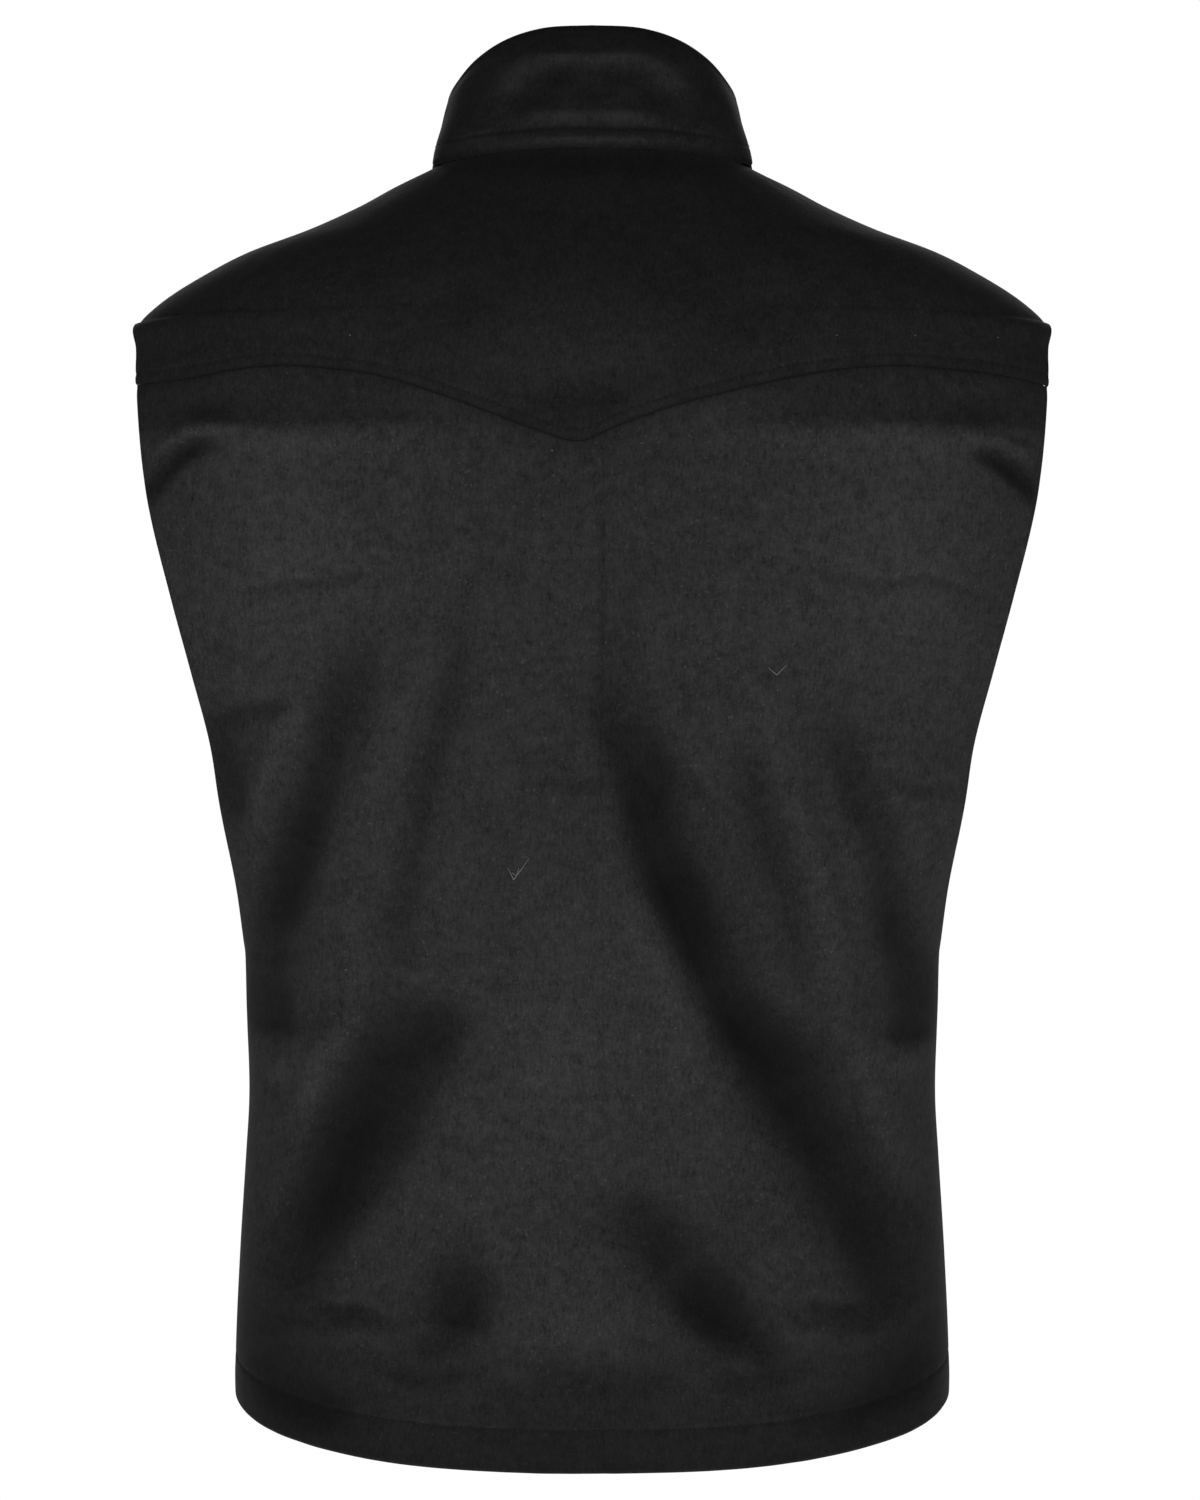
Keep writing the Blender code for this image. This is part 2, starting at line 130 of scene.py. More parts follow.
def panel_edges(sizes):
    """Turn from centre back to the back panel's edge and to the front panel's edge."""
    forward = SEAM_FORWARD * np.clip((sizes["level"] - SHOULDER_TIP) / (NECK - SHOULDER_TIP), 0, 1)
    cut = 1 - FRONT_ARMHOLE_CUT * sizes["armhole"]
    share = np.clip(sizes["edge"] / sizes["half"], 0, 1)
    back = np.arcsin(share ** (sizes["square"] / 2))
    front = np.arcsin(np.clip(cut * share, 0, 1) ** (sizes["square"] / 2))
    return back + forward, math.pi - front + forward


def on_body(sizes, turn):
    """Point of the smooth body at a turn from centre back, and the way out of it."""
    behind = np.cos(turn) >= 0
    depth = np.where(behind, sizes["back"], sizes["front"])
    tilt = np.where(behind, sizes["rise"], -sizes["drop"])
    across = np.abs(np.sin(turn)) ** (2 / sizes["square"])
    along = np.abs(np.cos(turn)) ** (2 / sizes["square"])
    side = np.where(np.sin(turn) < 0, -1.0, 1.0)
    sign = np.where(behind, 1.0, -1.0)
    z = sizes["level"] + tilt * along**TILT_POWER
    point = np.stack([side * sizes["half"] * across, sign * depth * along, z], -1)
    way_x = side * across ** (sizes["square"] - 1) / sizes["half"]
    way_y = sign * along ** (sizes["square"] - 1) / depth
    length = np.hypot(way_x, way_y)
    return point, way_x / length, way_y / length


def turn_at(face, level, across):
    """Turn at a share of the way from the centre, 0, to the panel's left or right edge, 1 or -1."""
    sizes = section_at(level)
    back_end, front_end = panel_edges(sizes)
    start = 0.0 if face == "back" else math.pi
    end = back_end if face == "back" else front_end
    turns = start + (end - start)[..., None] * np.linspace(0, 1, CURVE_STEPS + 1)
    points = on_body({name: size[..., None] for name, size in sizes.items()}, turns)[0]
    lengths = np.linalg.norm(np.diff(points, axis=-2), axis=-1).cumsum(-1)
    lengths = np.concatenate([np.zeros_like(lengths[..., :1]), lengths], -1)
    wanted = np.abs(across) * lengths[..., -1]
    i = np.clip((lengths < wanted[..., None]).sum(-1) - 1, 0, CURVE_STEPS - 1)
    low = np.take_along_axis(lengths, i[..., None], -1)[..., 0]
    high = np.take_along_axis(lengths, i[..., None] + 1, -1)[..., 0]
    turn = start + (end - start) * (i + (wanted - low) / (high - low)) / CURVE_STEPS
    return np.where(across < 0, -turn, turn)


# The folds of the cloth, as seen from that side: start, middle and end of each as across and
# height, half width on its upper and its lower side, and depth, with troughs below zero. The wool
# pulls from the armholes and the yoke to the waist and falls soft and uneven from there.
FOLD = ("x1", "z1", "x2", "z2", "x3", "z3", "upper", "lower", "depth")
BACK_FOLDS = (
    (115, -238, 134, -298, 150, -350, 9, 15, -6.5),
    (144, -326, 157, -366, 165, -412, 11, 14, -10),
    (152, -276, 165, -312, 173, -342, 6, 6, 4),
    (88, -246, 104, -308, 130, -428, 12, 12, 4),
    (68, -228, 84, -310, 104, -408, 7, 9, -3.5),
    (88, -444, 122, -494, 158, -578, 17, 19, -11.5),
    (104, -436, 134, -486, 156, -540, 8, 12, -3),
    (120, -442, 88, -432, 60, -446, 15, 17, -5.5),
    (112, -452, 92, -447, 72, -452, 9, 10, -2.5),
    (70, -446, 92, -486, 114, -522, 10, 8, -2.5),
    (112, -424, 134, -452, 146, -490, 8, 8, 3),
    (-12, -276, -46, -378, -98, -470, 15, 11, -13.5),
    (-76, -442, -122, -502, -159, -586, 25, 21, -10),
    (-2, -330, -34, -410, -66, -478, 8, 9, 3),
    (-86, -256, -99, -322, -131, -432, 9, 9, 4),
    (-78, -290, -93, -344, -111, -416, 13, 12, -4.0),
    (-46, -322, -66, -372, -94, -426, 14, 12, -2.0),
    (-116, -272, -144, -340, -165, -412, 10, 13, -4.5),
    (-146, -352, -160, -388, -170, -428, 11, 15, -4.5),
    (-136, -440, -151, -478, -160, -520, 9, 9, 3),
    (64, -546, 67, -568, 70, -586, 15, 16, -8),
    (66, -580, 78, -590, 92, -602, 9, 9, -3),
    (2, -528, -30, -532, -62, -546, 15, 18, -4.5),
    (-20, -532, -44, -560, -68, -582, 20, 13, -3.5),
    (-46, -554, -62, -573, -80, -586, 14, 14, -8),
    (-76, -582, -86, -594, -94, -606, 9, 9, -3),
    (188, -434, 168, -437, 147, -436, 27, 7, -6.5),
    (-188, -434, -168, -438, -145, -437, 27, 7, -6.5),
    (189, -280, 183, -306, 177, -336, 11, 11, -6),
    (194, -284, 174, -279, 152, -275, 4, 5, -3.6),
    (150, -452, 158, -456, 166, -454, 7, 7, 3),
    (-150, -452, -158, -456, -166, -454, 7, 7, 3),
    (216, -141, 160, -140, 70, -143, 5, 11, 3.0),
    (-218, -141, -164, -140, -74, -143, 5, 11, 3.0),
    (229, -178, 213, -155, 189, -147, 5, 5, -9),
    (-228, -179, -212, -156, -190, -147, 5, 5, -9),
    (230, -151, 212, -144, 182, -139, 2.5, 3, 3),
    (-230, -152, -212, -145, -184, -139, 2.5, 3, 3),
    (178, -222, 140, -213, 105, -212, 2.4, 3, -2.0),
    (-106, -208, -150, -216, -212, -222, 3, 4, -1.6),
    (-140, -312, -162, -316, -186, -318, 3, 4, -1.8),
    (-24, -306, -44, -312, -66, -326, 4, 4, -1.8),
    (24, -314, 10, -311, -6, -312, 4, 4, -1.4),
    (196, -240, 182, -252, 160, -254, 4, 5, -1.4),
    (152, -589, 122, -591, 90, -586, 5, 5, 2.2),
    (-152, -589, -122, -591, -90, -586, 5, 5, 2.2),
    (134, -576, 124, -579, 112, -577, 4, 4, -3),
    (-136, -576, -124, -579, -108, -577, 4, 4, -3),
    (172, -598, 152, -618, 116, -630, 14, 12, -5.5),
    (-172, -598, -152, -618, -112, -630, 14, 12, -5.5),
    (104, -603, 86, -610, 60, -606, 6, 5, -2.2),
    (-104, -603, -86, -610, -60, -606, 6, 5, -2.2),
    (26, -605, -8, -608, -44, -604, 9, 8, -1.6),
    (20, -380, 12, -450, 24, -520, 26, 26, 2.0),
    (-60, -200, -68, -250, -66, -300, 20, 20, 1.4),
    (-16, -212, -14, -250, -8, -290, 9, 9, -1.6),
    (26, -122, 4, -126, -22, -122, 9, 7, -2),
    (40, -60, 60, -76, 96, -84, 12, 14, -1.2),
    (-40, -60, -64, -74, -100, -82, 12, 14, -1.2),
)
FRONT_FOLDS = (
    (-150, -330, -118, -390, -70, -430, 16, 22, -6),
    (150, -320, 122, -372, 84, -425, 16, 22, -7),
    (-70, -480, -105, -530, -135, -590, 22, 15, -6),
    (78, -470, 104, -520, 140, -585, 22, 15, -5),
    (-135, -165, -115, -230, -112, -300, 18, 18, 4),
    (130, -170, 118, -235, 108, -305, 18, 18, 4),
    (160, -250, 146, -300, 142, -345, 9, 12, -2.6),
    (-164, -244, -150, -296, -150, -350, 9, 12, -2.4),
    (60, -380, 40, -430, 22, -470, 10, 12, -2.0),
    (-58, -376, -42, -420, -26, -452, 10, 12, -1.8),
    (189, -434, 176, -437, 158, -436, 24, 8, -5),
    (-189, -434, -176, -438, -156, -437, 24, 8, -5),
    (150, -600, 128, -612, 96, -618, 10, 11, -2.4),
    (-146, -598, -120, -610, -92, -616, 10, 11, -2.4),
    (196, -150, 170, -170, 150, -206, 8, 9, -2.2),
    (-196, -150, -172, -172, -152, -210, 8, 9, -2.2),
)
FOLD_WANDER = 2.2
WANDER_SIZE = 70
PATH_STEPS = 24
FOLD_REACH = 3.2
FOLD_ROUNDNESS = 2.3

# Painted light and shade: places, as seen from that side, where the colour is painted lighter to
# stand in for light or darker to stand in for shade, with the width, height and tone of each.
PAINTED_PATCH = ("x", "z", "wide", "tall", "tone")
PAINTED_LIGHT_PATCHES = (
    (150, -205, 58, 72, 0.34),
    (-150, -205, 58, 72, 0.34),
    (178, -166, 30, 22, 0.10),
    (-178, -166, 30, 22, 0.10),
    (192, -130, 13, 5, -0.42),
    (-192, -130, 13, 5, -0.42),
    (186, -118, 20, 3, 0.18),
    (-186, -118, 20, 3, 0.18),
    (0, -160, 60, 24, -0.08),
    (26, -480, 60, 110, 0.08),
    (12, -584, 40, 18, 0.26),
    (0, -664, 260, 64, -1.0),
    (156, -613, 36, 26, -0.52),
    (-156, -613, 36, 26, -0.56),
    (128, -588, 46, 16, -0.22),
    (-128, -588, 46, 16, -0.22),
    (-88, -458, 30, 26, -0.34),
    (18, -330, 26, 30, -0.11),
    (11, -262, 14, 12, -0.10),
    (103, -382, 15, 32, -0.14),
    (50, -404, 22, 22, -0.08),
    (-66, -345, 28, 46, -0.09),
    (182, -262, 26, 26, 0.05),
    (-168, -350, 22, 40, 0.10),
    (0, -36, 130, 50, -0.48),
    (0, -6, 64, 8, -0.85),
    (6, -104, 70, 26, 0.36),
)
# Painted shade in the folds' troughs and painted highlight on their ridges, per millimetre of depth.
TROUGH_PAINTED_SHADE = 0.14
RIDGE_PAINTED_HIGHLIGHT = 0.035
# Where the painted shade band below the yoke lies: it spares the yoke's point and ends at a soft foot.
YOKE_POINT_HALF_WIDTH = 50
YOKE_POINT_SOFTNESS = 70
DARK_BAND_FOOT = -139.5
DARK_BAND_SOFTNESS = 4.5


def smooth(t):
    t = np.clip(t, 0, 1)
    return t * t * (3 - 2 * t)


def uneven(across, up, size, seed):
    """Soft unevenness of hanging cloth, about 1 high and size wide."""
    chance = np.random.default_rng(seed)
    total = np.zeros(np.broadcast(across, up).shape)
    for _ in range(9):
        way, start = chance.uniform(0, 2 * math.pi, 2)
        wave = 2 * math.pi / (size * chance.uniform(0.6, 1.7))
        total += np.sin((across * math.cos(way) + up * math.sin(way)) * wave + start)
    return total / 3


def folds_at(folds, x, z):
    """Sum of the folds at places seen from that side of the body."""
    total = np.zeros_like(x)
    stray_x, stray_z = (FOLD_WANDER * uneven(x, z, WANDER_SIZE, seed) for seed in (31, 32))
    x, z = x + stray_x, z + stray_z
    steps = np.linspace(0, 1, PATH_STEPS)
    first, second, third = (1 - steps) * (1 - 2 * steps), 4 * steps * (1 - steps), steps * (2 * steps - 1)
    for row in folds:
        fold = dict(zip(FOLD, row))
        path_x = first * fold["x1"] + second * fold["x2"] + third * fold["x3"]
        path_z = first * fold["z1"] + second * fold["z2"] + third * fold["z3"]
        reach = FOLD_REACH * max(fold["upper"], fold["lower"])
        near = (x > path_x.min() - reach) & (x < path_x.max() + reach)
        near &= (z > path_z.min() - reach) & (z < path_z.max() + reach)
        if not near.any():
            continue
        off_x, off_z = x[near][:, None] - path_x[:-1], z[near][:, None] - path_z[:-1]
        run_x, run_z = np.diff(path_x), np.diff(path_z)
        part = np.clip((off_x * run_x + off_z * run_z) / (run_x**2 + run_z**2), 0, 1)
        off_x, off_z = off_x - part * run_x, off_z - part * run_z
        away = np.hypot(off_x, off_z)
        nearest = away.argmin(-1)[:, None]
        off_z, part = (np.take_along_axis(found, nearest, -1)[:, 0] for found in (off_z, part))
        away = away.min(-1)
        side = smooth(0.5 + 0.9 * off_z / (away + 0.5))
        width = fold["lower"] + (fold["upper"] - fold["lower"]) * side
        along = np.clip((nearest[:, 0] + part) / len(run_x), 0.02, 0.98)
        fade = np.sqrt(np.sin(math.pi * along))
        total[near] += fold["depth"] * fade * np.exp(-((away / width) ** FOLD_ROUNDNESS))
    return total * (1 + 0.10 * uneven(x, z, 60, 33))


def painted_light_at(points, fold):
    """Painted light and shade as a factor on the colour: 1 on plain cloth, darker in a trough, lighter on a
    ridge and at the listed patches.
    """
    x, z = points[..., 0], points[..., 2]
    tone = TROUGH_PAINTED_SHADE * np.minimum(fold, 0) + RIDGE_PAINTED_HIGHLIGHT * np.maximum(fold, 0)
    for row in PAINTED_LIGHT_PATCHES:
        place = dict(zip(PAINTED_PATCH, row))
        away = ((x - place["x"]) / place["wide"]) ** 2 + ((z - place["z"]) / place["tall"]) ** 2
        tone += place["tone"] * np.exp(-away)
    return np.exp(tone)


def painted_shade_below_yoke(points, from_seam):
    """Painted shade below the yoke, where the cloth turns up to its seam: darker at the sides down to a
    soft edge, and in a thin line under the seam in the middle.
    """
    x, z = points[..., 0], points[..., 2]
    sides = smooth((np.abs(x) - YOKE_POINT_HALF_WIDTH) / YOKE_POINT_SOFTNESS)
    sides = sides * smooth((z - DARK_BAND_FOOT + 1.3 * uneven(x, z, 55, 34)) / DARK_BAND_SOFTNESS)
    return 1 - 0.40 * sides - 0.22 * (1 - sides) * at_line(from_seam, 10)


# The cloth. Each panel is a grid on the body, lifted where the left front laps over the right. Its
# edges are turned in, its seams pull a shallow valley, and its rows of stitches, one every 3.3 mm,
# sink a groove with the cloth puffed up beside it.
LAP_LIFT = 3.0
LAP_SLOPE_STARTS = 14.0
LAP_SLOPE_ENDS = 30.0
PANEL_WIDTH = 240
STITCH = 3.3
RIM_ROUNDNESS = 0.16


def skin(face, level, across):
    """Outer face of the cloth with its folds, and how high each place stands on a fold."""
    level, across = np.broadcast_arrays(np.asarray(level, float), np.asarray(across, float))
    sizes = section_at(level)
    point, way_x, way_y = on_body(sizes, turn_at(face, level, across))
    x, y, z = point[..., 0], point[..., 1], point[..., 2]
    inside = 1 - np.clip(np.abs(x) / sizes["edge"], 0, 1) ** 8
    fold = folds_at(BACK_FOLDS if face == "back" else FRONT_FOLDS, x, z)
    soft = 0.45 * uneven(PANEL_WIDTH * across, level, 70, 3)
    soft = soft + 0.16 * uneven(PANEL_WIDTH * across, level, 21, 8)
    depth = inside * (fold + soft)
    x, y = x + way_x * depth, y + way_y * depth
    if face == "front_left":
        y = y - LAP_LIFT * smooth((LAP_SLOPE_ENDS - x) / (LAP_SLOPE_ENDS - LAP_SLOPE_STARTS))
    return np.stack([x, y, z], -1), fold


def normals_of(points):
    """The way out of a grid of points at each of them."""
    across = np.gradient(points, axis=1)
    up = np.gradient(points, axis=0)
    normal = np.cross(across, up)
    return normal / np.maximum(np.linalg.norm(normal, axis=-1, keepdims=True), 1e-9)


def distances(points, axis):
    """How far each place is along its row or column from the first and from the last border."""
    step = np.linalg.norm(np.diff(points, axis=axis), axis=-1)
    start = np.zeros_like(points[..., 0][:1] if axis == 0 else points[..., 0][:, :1])
    run = np.concatenate([start, step.cumsum(axis)], axis)
    return run, (run[-1:] if axis == 0 else run[:, -1:]) - run


class Panel:
    """A grid of cloth: its outer points, the way out at each, and how far each lies from the
    foot, the head, the first side and the last side, in millimetres."""

    def __init__(self, face, levels, across):
        self.points, self.fold = skin(face, levels, across)
        self.levels = np.broadcast_to(levels, self.fold.shape)
        self.across = np.broadcast_to(across, self.fold.shape)
        self.out = normals_of(self.points)
        if (self.out[..., 1] * self.points[..., 1]).mean() < 0:
            self.out = -self.out
        # Painted light and shade as a factor on the colour, from the folds and the listed patches.
        self.painted_light = painted_light_at(self.points, self.fold)
        self.foot, self.head = distances(self.points, 0)
        self.first, self.last = distances(self.points, 1)

    def press(self, relief):
        """Moves the outer face in or out, as seams and stitching do."""
        self.points = self.points + self.out * relief[..., None]
        out = normals_of(self.points)
        self.out = out if (out * self.out).sum(-1).mean() > 0 else -out


def at_line(distance, wide, at=0.0):
    """1 on a line and fading out beside it."""
    return np.exp(-(((distance - at) / wide) ** 2))


def rolled(distance, deep=0.9, wide=1.4):
    """The turned-in round of an edge."""
    return -deep * (1 - smooth(distance / wide)) ** 2


def stitched(distance, at, along, deep=0.55, wide=1.1, puff=0.35):
    """A groove under a row of stitches, with the cloth puffed up beside it and slightly puckered."""
    pucker = 1 + 0.3 * np.sin(along * 2 * math.pi / STITCH) + 0.35 * uneven(along, 0 * along, 17, 5)
    groove = -deep * pucker * at_line(distance, wide, at)
    return groove + puff * at_line(distance, at * 0.4, at * 0.45)


def painted_shade_line(distance, wide, share, at=0.0):
    """Painted shade along a line, such as a seam, a row of stitches, a turned edge or a roll: 1 away from
    it and darker on it.
    """
    return 1 - share * at_line(distance, wide, at)


def placed(name, data):
    """A new object in the scene."""
    made = bpy.data.objects.new(name, data)
    bpy.context.scene.collection.objects.link(made)
    return made


def shell(name, outer, out, brushed, wall):
    """A thin shell of cloth with a round rim, its outer face on the grid of points."""
    rows, columns = outer.shape[:2]
    inner = outer - wall * out
    border = [(0, i) for i in range(columns)] + [(j, columns - 1) for j in range(1, rows)]
    border += [(rows - 1, i) for i in range(columns - 2, -1, -1)] + [(j, 0) for j in range(rows - 2, 0, -1)]
    rim = []
    for j, i in border:
        near_j, near_i = min(max(j, 1), rows - 2), min(max(i, 1), columns - 2)
        away = outer[j, i] - outer[near_j, near_i]
        away = away - out[j, i] * (away @ out[j, i])
        away = away / max(np.linalg.norm(away), 1e-9)
        rim.append((outer[j, i] + inner[j, i]) / 2 + away * wall * RIM_ROUNDNESS)
    points = np.concatenate([outer.reshape(-1, 3), inner.reshape(-1, 3), np.array(rim)]) * MM
    number = np.arange(rows * columns).reshape(rows, columns)
    a, b, c, d = (n.ravel() for n in (number[:-1, :-1], number[:-1, 1:], number[1:, 1:], number[1:, :-1]))
    size = rows * columns
    faces = [np.stack([a, b, c, d], 1), np.stack([a, d, c, b], 1) + size]
    edge = np.array([j * columns + i for j, i in border])
    ahead = np.roll(edge, -1)
    middle = 2 * size + np.arange(len(edge))
    middle_ahead = np.roll(middle, -1)
    faces.append(np.stack([ahead, edge, middle, middle_ahead], 1))
    faces.append(np.stack([middle_ahead, middle, edge + size, ahead + size], 1))
    mesh = bpy.data.meshes.new(name)
    mesh.from_pydata(points.tolist(), [], np.concatenate(faces).tolist())
    # The painted light and shade, kept on each point for the wool's colour.
    painted_light = mesh.attributes.new("brushed", "FLOAT", "POINT")
    level = brushed.ravel()
    rim_level = np.array([brushed[j, i] for j, i in border])
    painted_light.data.foreach_set("value", np.concatenate([level, level, rim_level]).astype(np.float32))
    mesh.shade_smooth()
    work = bmesh.new()
    work.from_mesh(mesh)
    bmesh.ops.recalc_face_normals(work, faces=work.faces)
    work.to_mesh(mesh)
    work.free()
    return placed(name, mesh)


# The wool. A black melton cloth with a soft, slightly clouded nap that hides its weave and holds a
# little pale lint; its colour carries painted light and shade, lighter on ridges, darker in hollows.
class Wire:
    """A socket in a material; sums and products on it add Math nodes."""

    def __init__(self, tree, socket=None):
        self.tree = tree
        self.socket = socket

    def node(self, kind, settings=(), values=(), output=0):
        """Adds a node: its settings first, then each socket's value or link."""
        made = self.tree.nodes.new(kind)
        for name, value in dict(settings).items():
            if name == "stops":
                while len(made.color_ramp.elements) < len(value):
                    made.color_ramp.elements.new(0.5)
                for stop, (place, tone) in zip(made.color_ramp.elements, value):
                    stop.position = place
                    stop.color = (*tone, 1) if isinstance(tone, tuple) else (tone, tone, tone, 1)
            else:
                setattr(made, name, value)
        for name, value in dict(values).items():
            if isinstance(value, Wire):
                self.tree.links.new(value.socket, made.inputs[name])
            else:
                made.inputs[name].default_value = value
        return Wire(self.tree, made.outputs[output])

    def sum(self, operation, first, second):
        return self.node("ShaderNodeMath", {"operation": operation}, {0: first, 1: second})

    def __add__(self, other):
        return self.sum("ADD", self, other)

    def __sub__(self, other):
        return self.sum("SUBTRACT", self, other)

    def __rsub__(self, other):
        return self.sum("SUBTRACT", other, self)

    def __mul__(self, other):
        return self.sum("MULTIPLY", self, other)

    __radd__ = __add__
    __rmul__ = __mul__

    def steps(self, low, high):
        """0 below low, 1 above high and a soft change between."""
        kind = {"interpolation_type": "SMOOTHSTEP"}
        return self.node("ShaderNodeMapRange", kind, {"Value": self, "From Min": low, "From Max": high})

    def noise(self, size, detail=3.0, rough=0.55, seed=0.0, stretch=(1, 1, 1)):
        """Noise with blots about size millimetres wide."""
        place = self.node("ShaderNodeTexCoord", output=3)
        scale = tuple(1 / (size * MM * s) for s in stretch)
        moved = {"Vector": place, "Scale": scale, "Location": (seed, 2 * seed, -seed)}
        place = self.node("ShaderNodeMapping", (), moved)
        values = {"Vector": place, "Scale": 1.0, "Detail": detail, "Roughness": rough}
        return self.node("ShaderNodeTexNoise", (), values)

    def colour(self, dark, pale):
        """The dark colour where this is 0, the pale one where it is 1, and mixed between."""
        values = {0: self, 6: (*dark, 1), 7: (*pale, 1)}
        return self.node("ShaderNodeMix", {"data_type": "RGBA"}, values, 2)

    def feeds(self, shader, socket):
        self.tree.links.new(self.socket, shader.inputs[socket])


def blank(name, constants):
    """A new material with the constants set on its shader, ready to be wired."""
    material = bpy.data.materials.new(name)
    material.use_nodes = True
    tree = material.node_tree
    shader = tree.nodes["Principled BSDF"]
    for socket, value in constants.items():
        shader.inputs[socket].default_value = value
    return material, Wire(tree), shader


def wool(name, tone, seed=0.0):
    """Black wool, its nap clouded, mottled and fuzzy, with an upright grain and a few pale specks, its
    colour scaled by the painted light and shade that each piece carries.
    """
    constants = {
        "Roughness": 0.92,
        "Specular IOR Level": 0.2,
        "Sheen Weight": 0.03,
        "Sheen Roughness": 0.45,
        "Sheen Tint": (0.85, 0.86, 0.9, 1),
    }
    material, start, shader = blank(name, constants)
    painted_light = start.node("ShaderNodeAttribute", {"attribute_name": "brushed"}, output="Fac")
    cloud = start.noise(34, 3, 0.6, seed)
    mottle = start.noise(5.5, 4, 0.65, seed + 5, (1.3, 1.3, 1))
    fuzz = start.noise(1.1, 3, 0.7, seed + 9)
    grain = start.noise(1.7, 2, 0.6, seed + 13, (0.75, 1, 2.4))
    speck = start.noise(1.5, 0, 0.5, seed + 21).steps(0.74, 0.80)
    shade = (0.5 * cloud + 1.3 * mottle + 1.6 * fuzz + 1.4 * grain - 1.4 + 0.8 * speck) * painted_light
    fullest = tuple(2 * tone * c for c in (1.0, 1.0, 1.02))
    (0.5 * shade).colour((0.0, 0.0, 0.0), fullest).feeds(shader, "Base Color")
    height = 0.5 * start.noise(2.6, 2, 0.6, seed + 3) + 0.5 * fuzz
    pile = {"Strength": 0.6, "Distance": 0.45 * MM, "Height": height}
    start.node("ShaderNodeBump", (), pile).feeds(shader, "Normal")
    return material


WALL = 1.8
BODY_WOOL = wool("black_melton", 0.0221)


def finish(piece, material, node=None):
    """Gives a piece its material, hangs it on the root, and hides the solid it stands for."""
    piece.data.materials.append(material)
    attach(piece, "root")
    if node:
        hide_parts(node)
    return piece


def rows_between(low, high, fine_low, fine_high, step=2.6):
    """Rows of levels from a low border to a high one, close together at the wanted distances
    from each border, where the cloth is stitched or turned."""
    count = max(3, int(((high - low).max() - fine_low[-1] - fine_high[-1]) / step))
    start, end = low + fine_low[-1], high - fine_high[-1]
    middle = [start + (end - start) * share for share in np.linspace(0, 1, count + 1)[1:-1]]
    return np.stack([low + d for d in fine_low] + middle + [high - d for d in fine_high[::-1]])


def sides_between(first, last, fine_first, fine_last, length, step=2.6):
    """Shares across from one side to the other, close together near both."""
    way = 1 if last > first else -1
    start, end = first + way * fine_first[-1] / length, last - way * fine_last[-1] / length
    count = max(3, int(abs(end - start) * length / step))
    shares = [first + way * d / length for d in fine_first]
    shares += list(np.linspace(start, end, count + 1)[1:-1])
    return np.array(shares + [last - way * d / length for d in fine_last[::-1]])


# The back panels. Two lengths of the wool joined down the centre back by a plain seam, caught
# into the yoke above, turned up and stitched at the hem, and turned in at the armholes.
CENTRE_BACK = -4.0
HEM_STITCHES = 21.0
EDGE_STITCHES = 6.0
HEM_DIP_BACK = 28.0
UNDER_YOKE = 5.0
TUCK_DEPTH = 2.2
SEAM_PULLS_AT = -225
PLAIN = (0, 0.5, 1.0, 1.6, 2.4, 3.6)
TUCKED = (0, 1.5, 3.0, 3.8, 4.2, 4.5, 4.8, 5.1, 5.4, 5.9, 6.8, 8.6)
EDGED = (0, 0.5, 1.0, 1.6, 2.6, 3.8, 4.7, 5.3, 5.7, 6.0, 6.3, 6.7, 7.3, 8.2, 9.6)
HEMMED = (0, 0.5, 1.1, 2, 3.4, 5.5, 8, 10.5, 13, 15.5, 17.5, 19, 20, 20.5, 21, 21.5, 22, 23, 24.5)
YOKE_SEAM = ("across", "height")
YOKE_SEAM_LINE = (
    (-240, -116),
    (-206, -111),
    (-179, -109),
    (-153, -108),
    (-128, -110),
    (-103, -114),
    (-73, -121),
    (-43, -129),
    (-14, -139),
    (6, -147),
    (26, -142),
    (50, -133),
    (80, -122),
    (105, -114),
    (130, -110),
    (150, -108),
    (176, -109),
    (196, -112),
    (240, -114),
)


def hem_level(across, dip):
    """The hem dips from the side seams to the middle."""
    return HEM - dip * (1 - np.abs(across) ** 2.6) ** 1.4


def yoke_seam_level(across):
    """The level on the body at which each share across meets the yoke seam, found by trying."""
    level = np.full_like(across, -120.0)
    for _ in range(8):
        level = read(YOKE_SEAM_LINE, YOKE_SEAM, "height", skin("back", level, across)[0][..., 0])
    return level


def armhole_share(panel):
    """1 along the armhole and 0 along the side and shoulder seams."""
    return smooth((panel.levels - UNDERARM + 6) / 14) * smooth((SHOULDER_TIP + 2 - panel.levels) / 6)


def side_sewn(panel, distance):
    """A side turned in along the armhole and drawn in a little at its seams."""
    arm = armhole_share(panel)
    return arm * rolled(distance, 0.9, 2.0) - (1 - arm) * 0.45 * at_line(distance, 1.3)


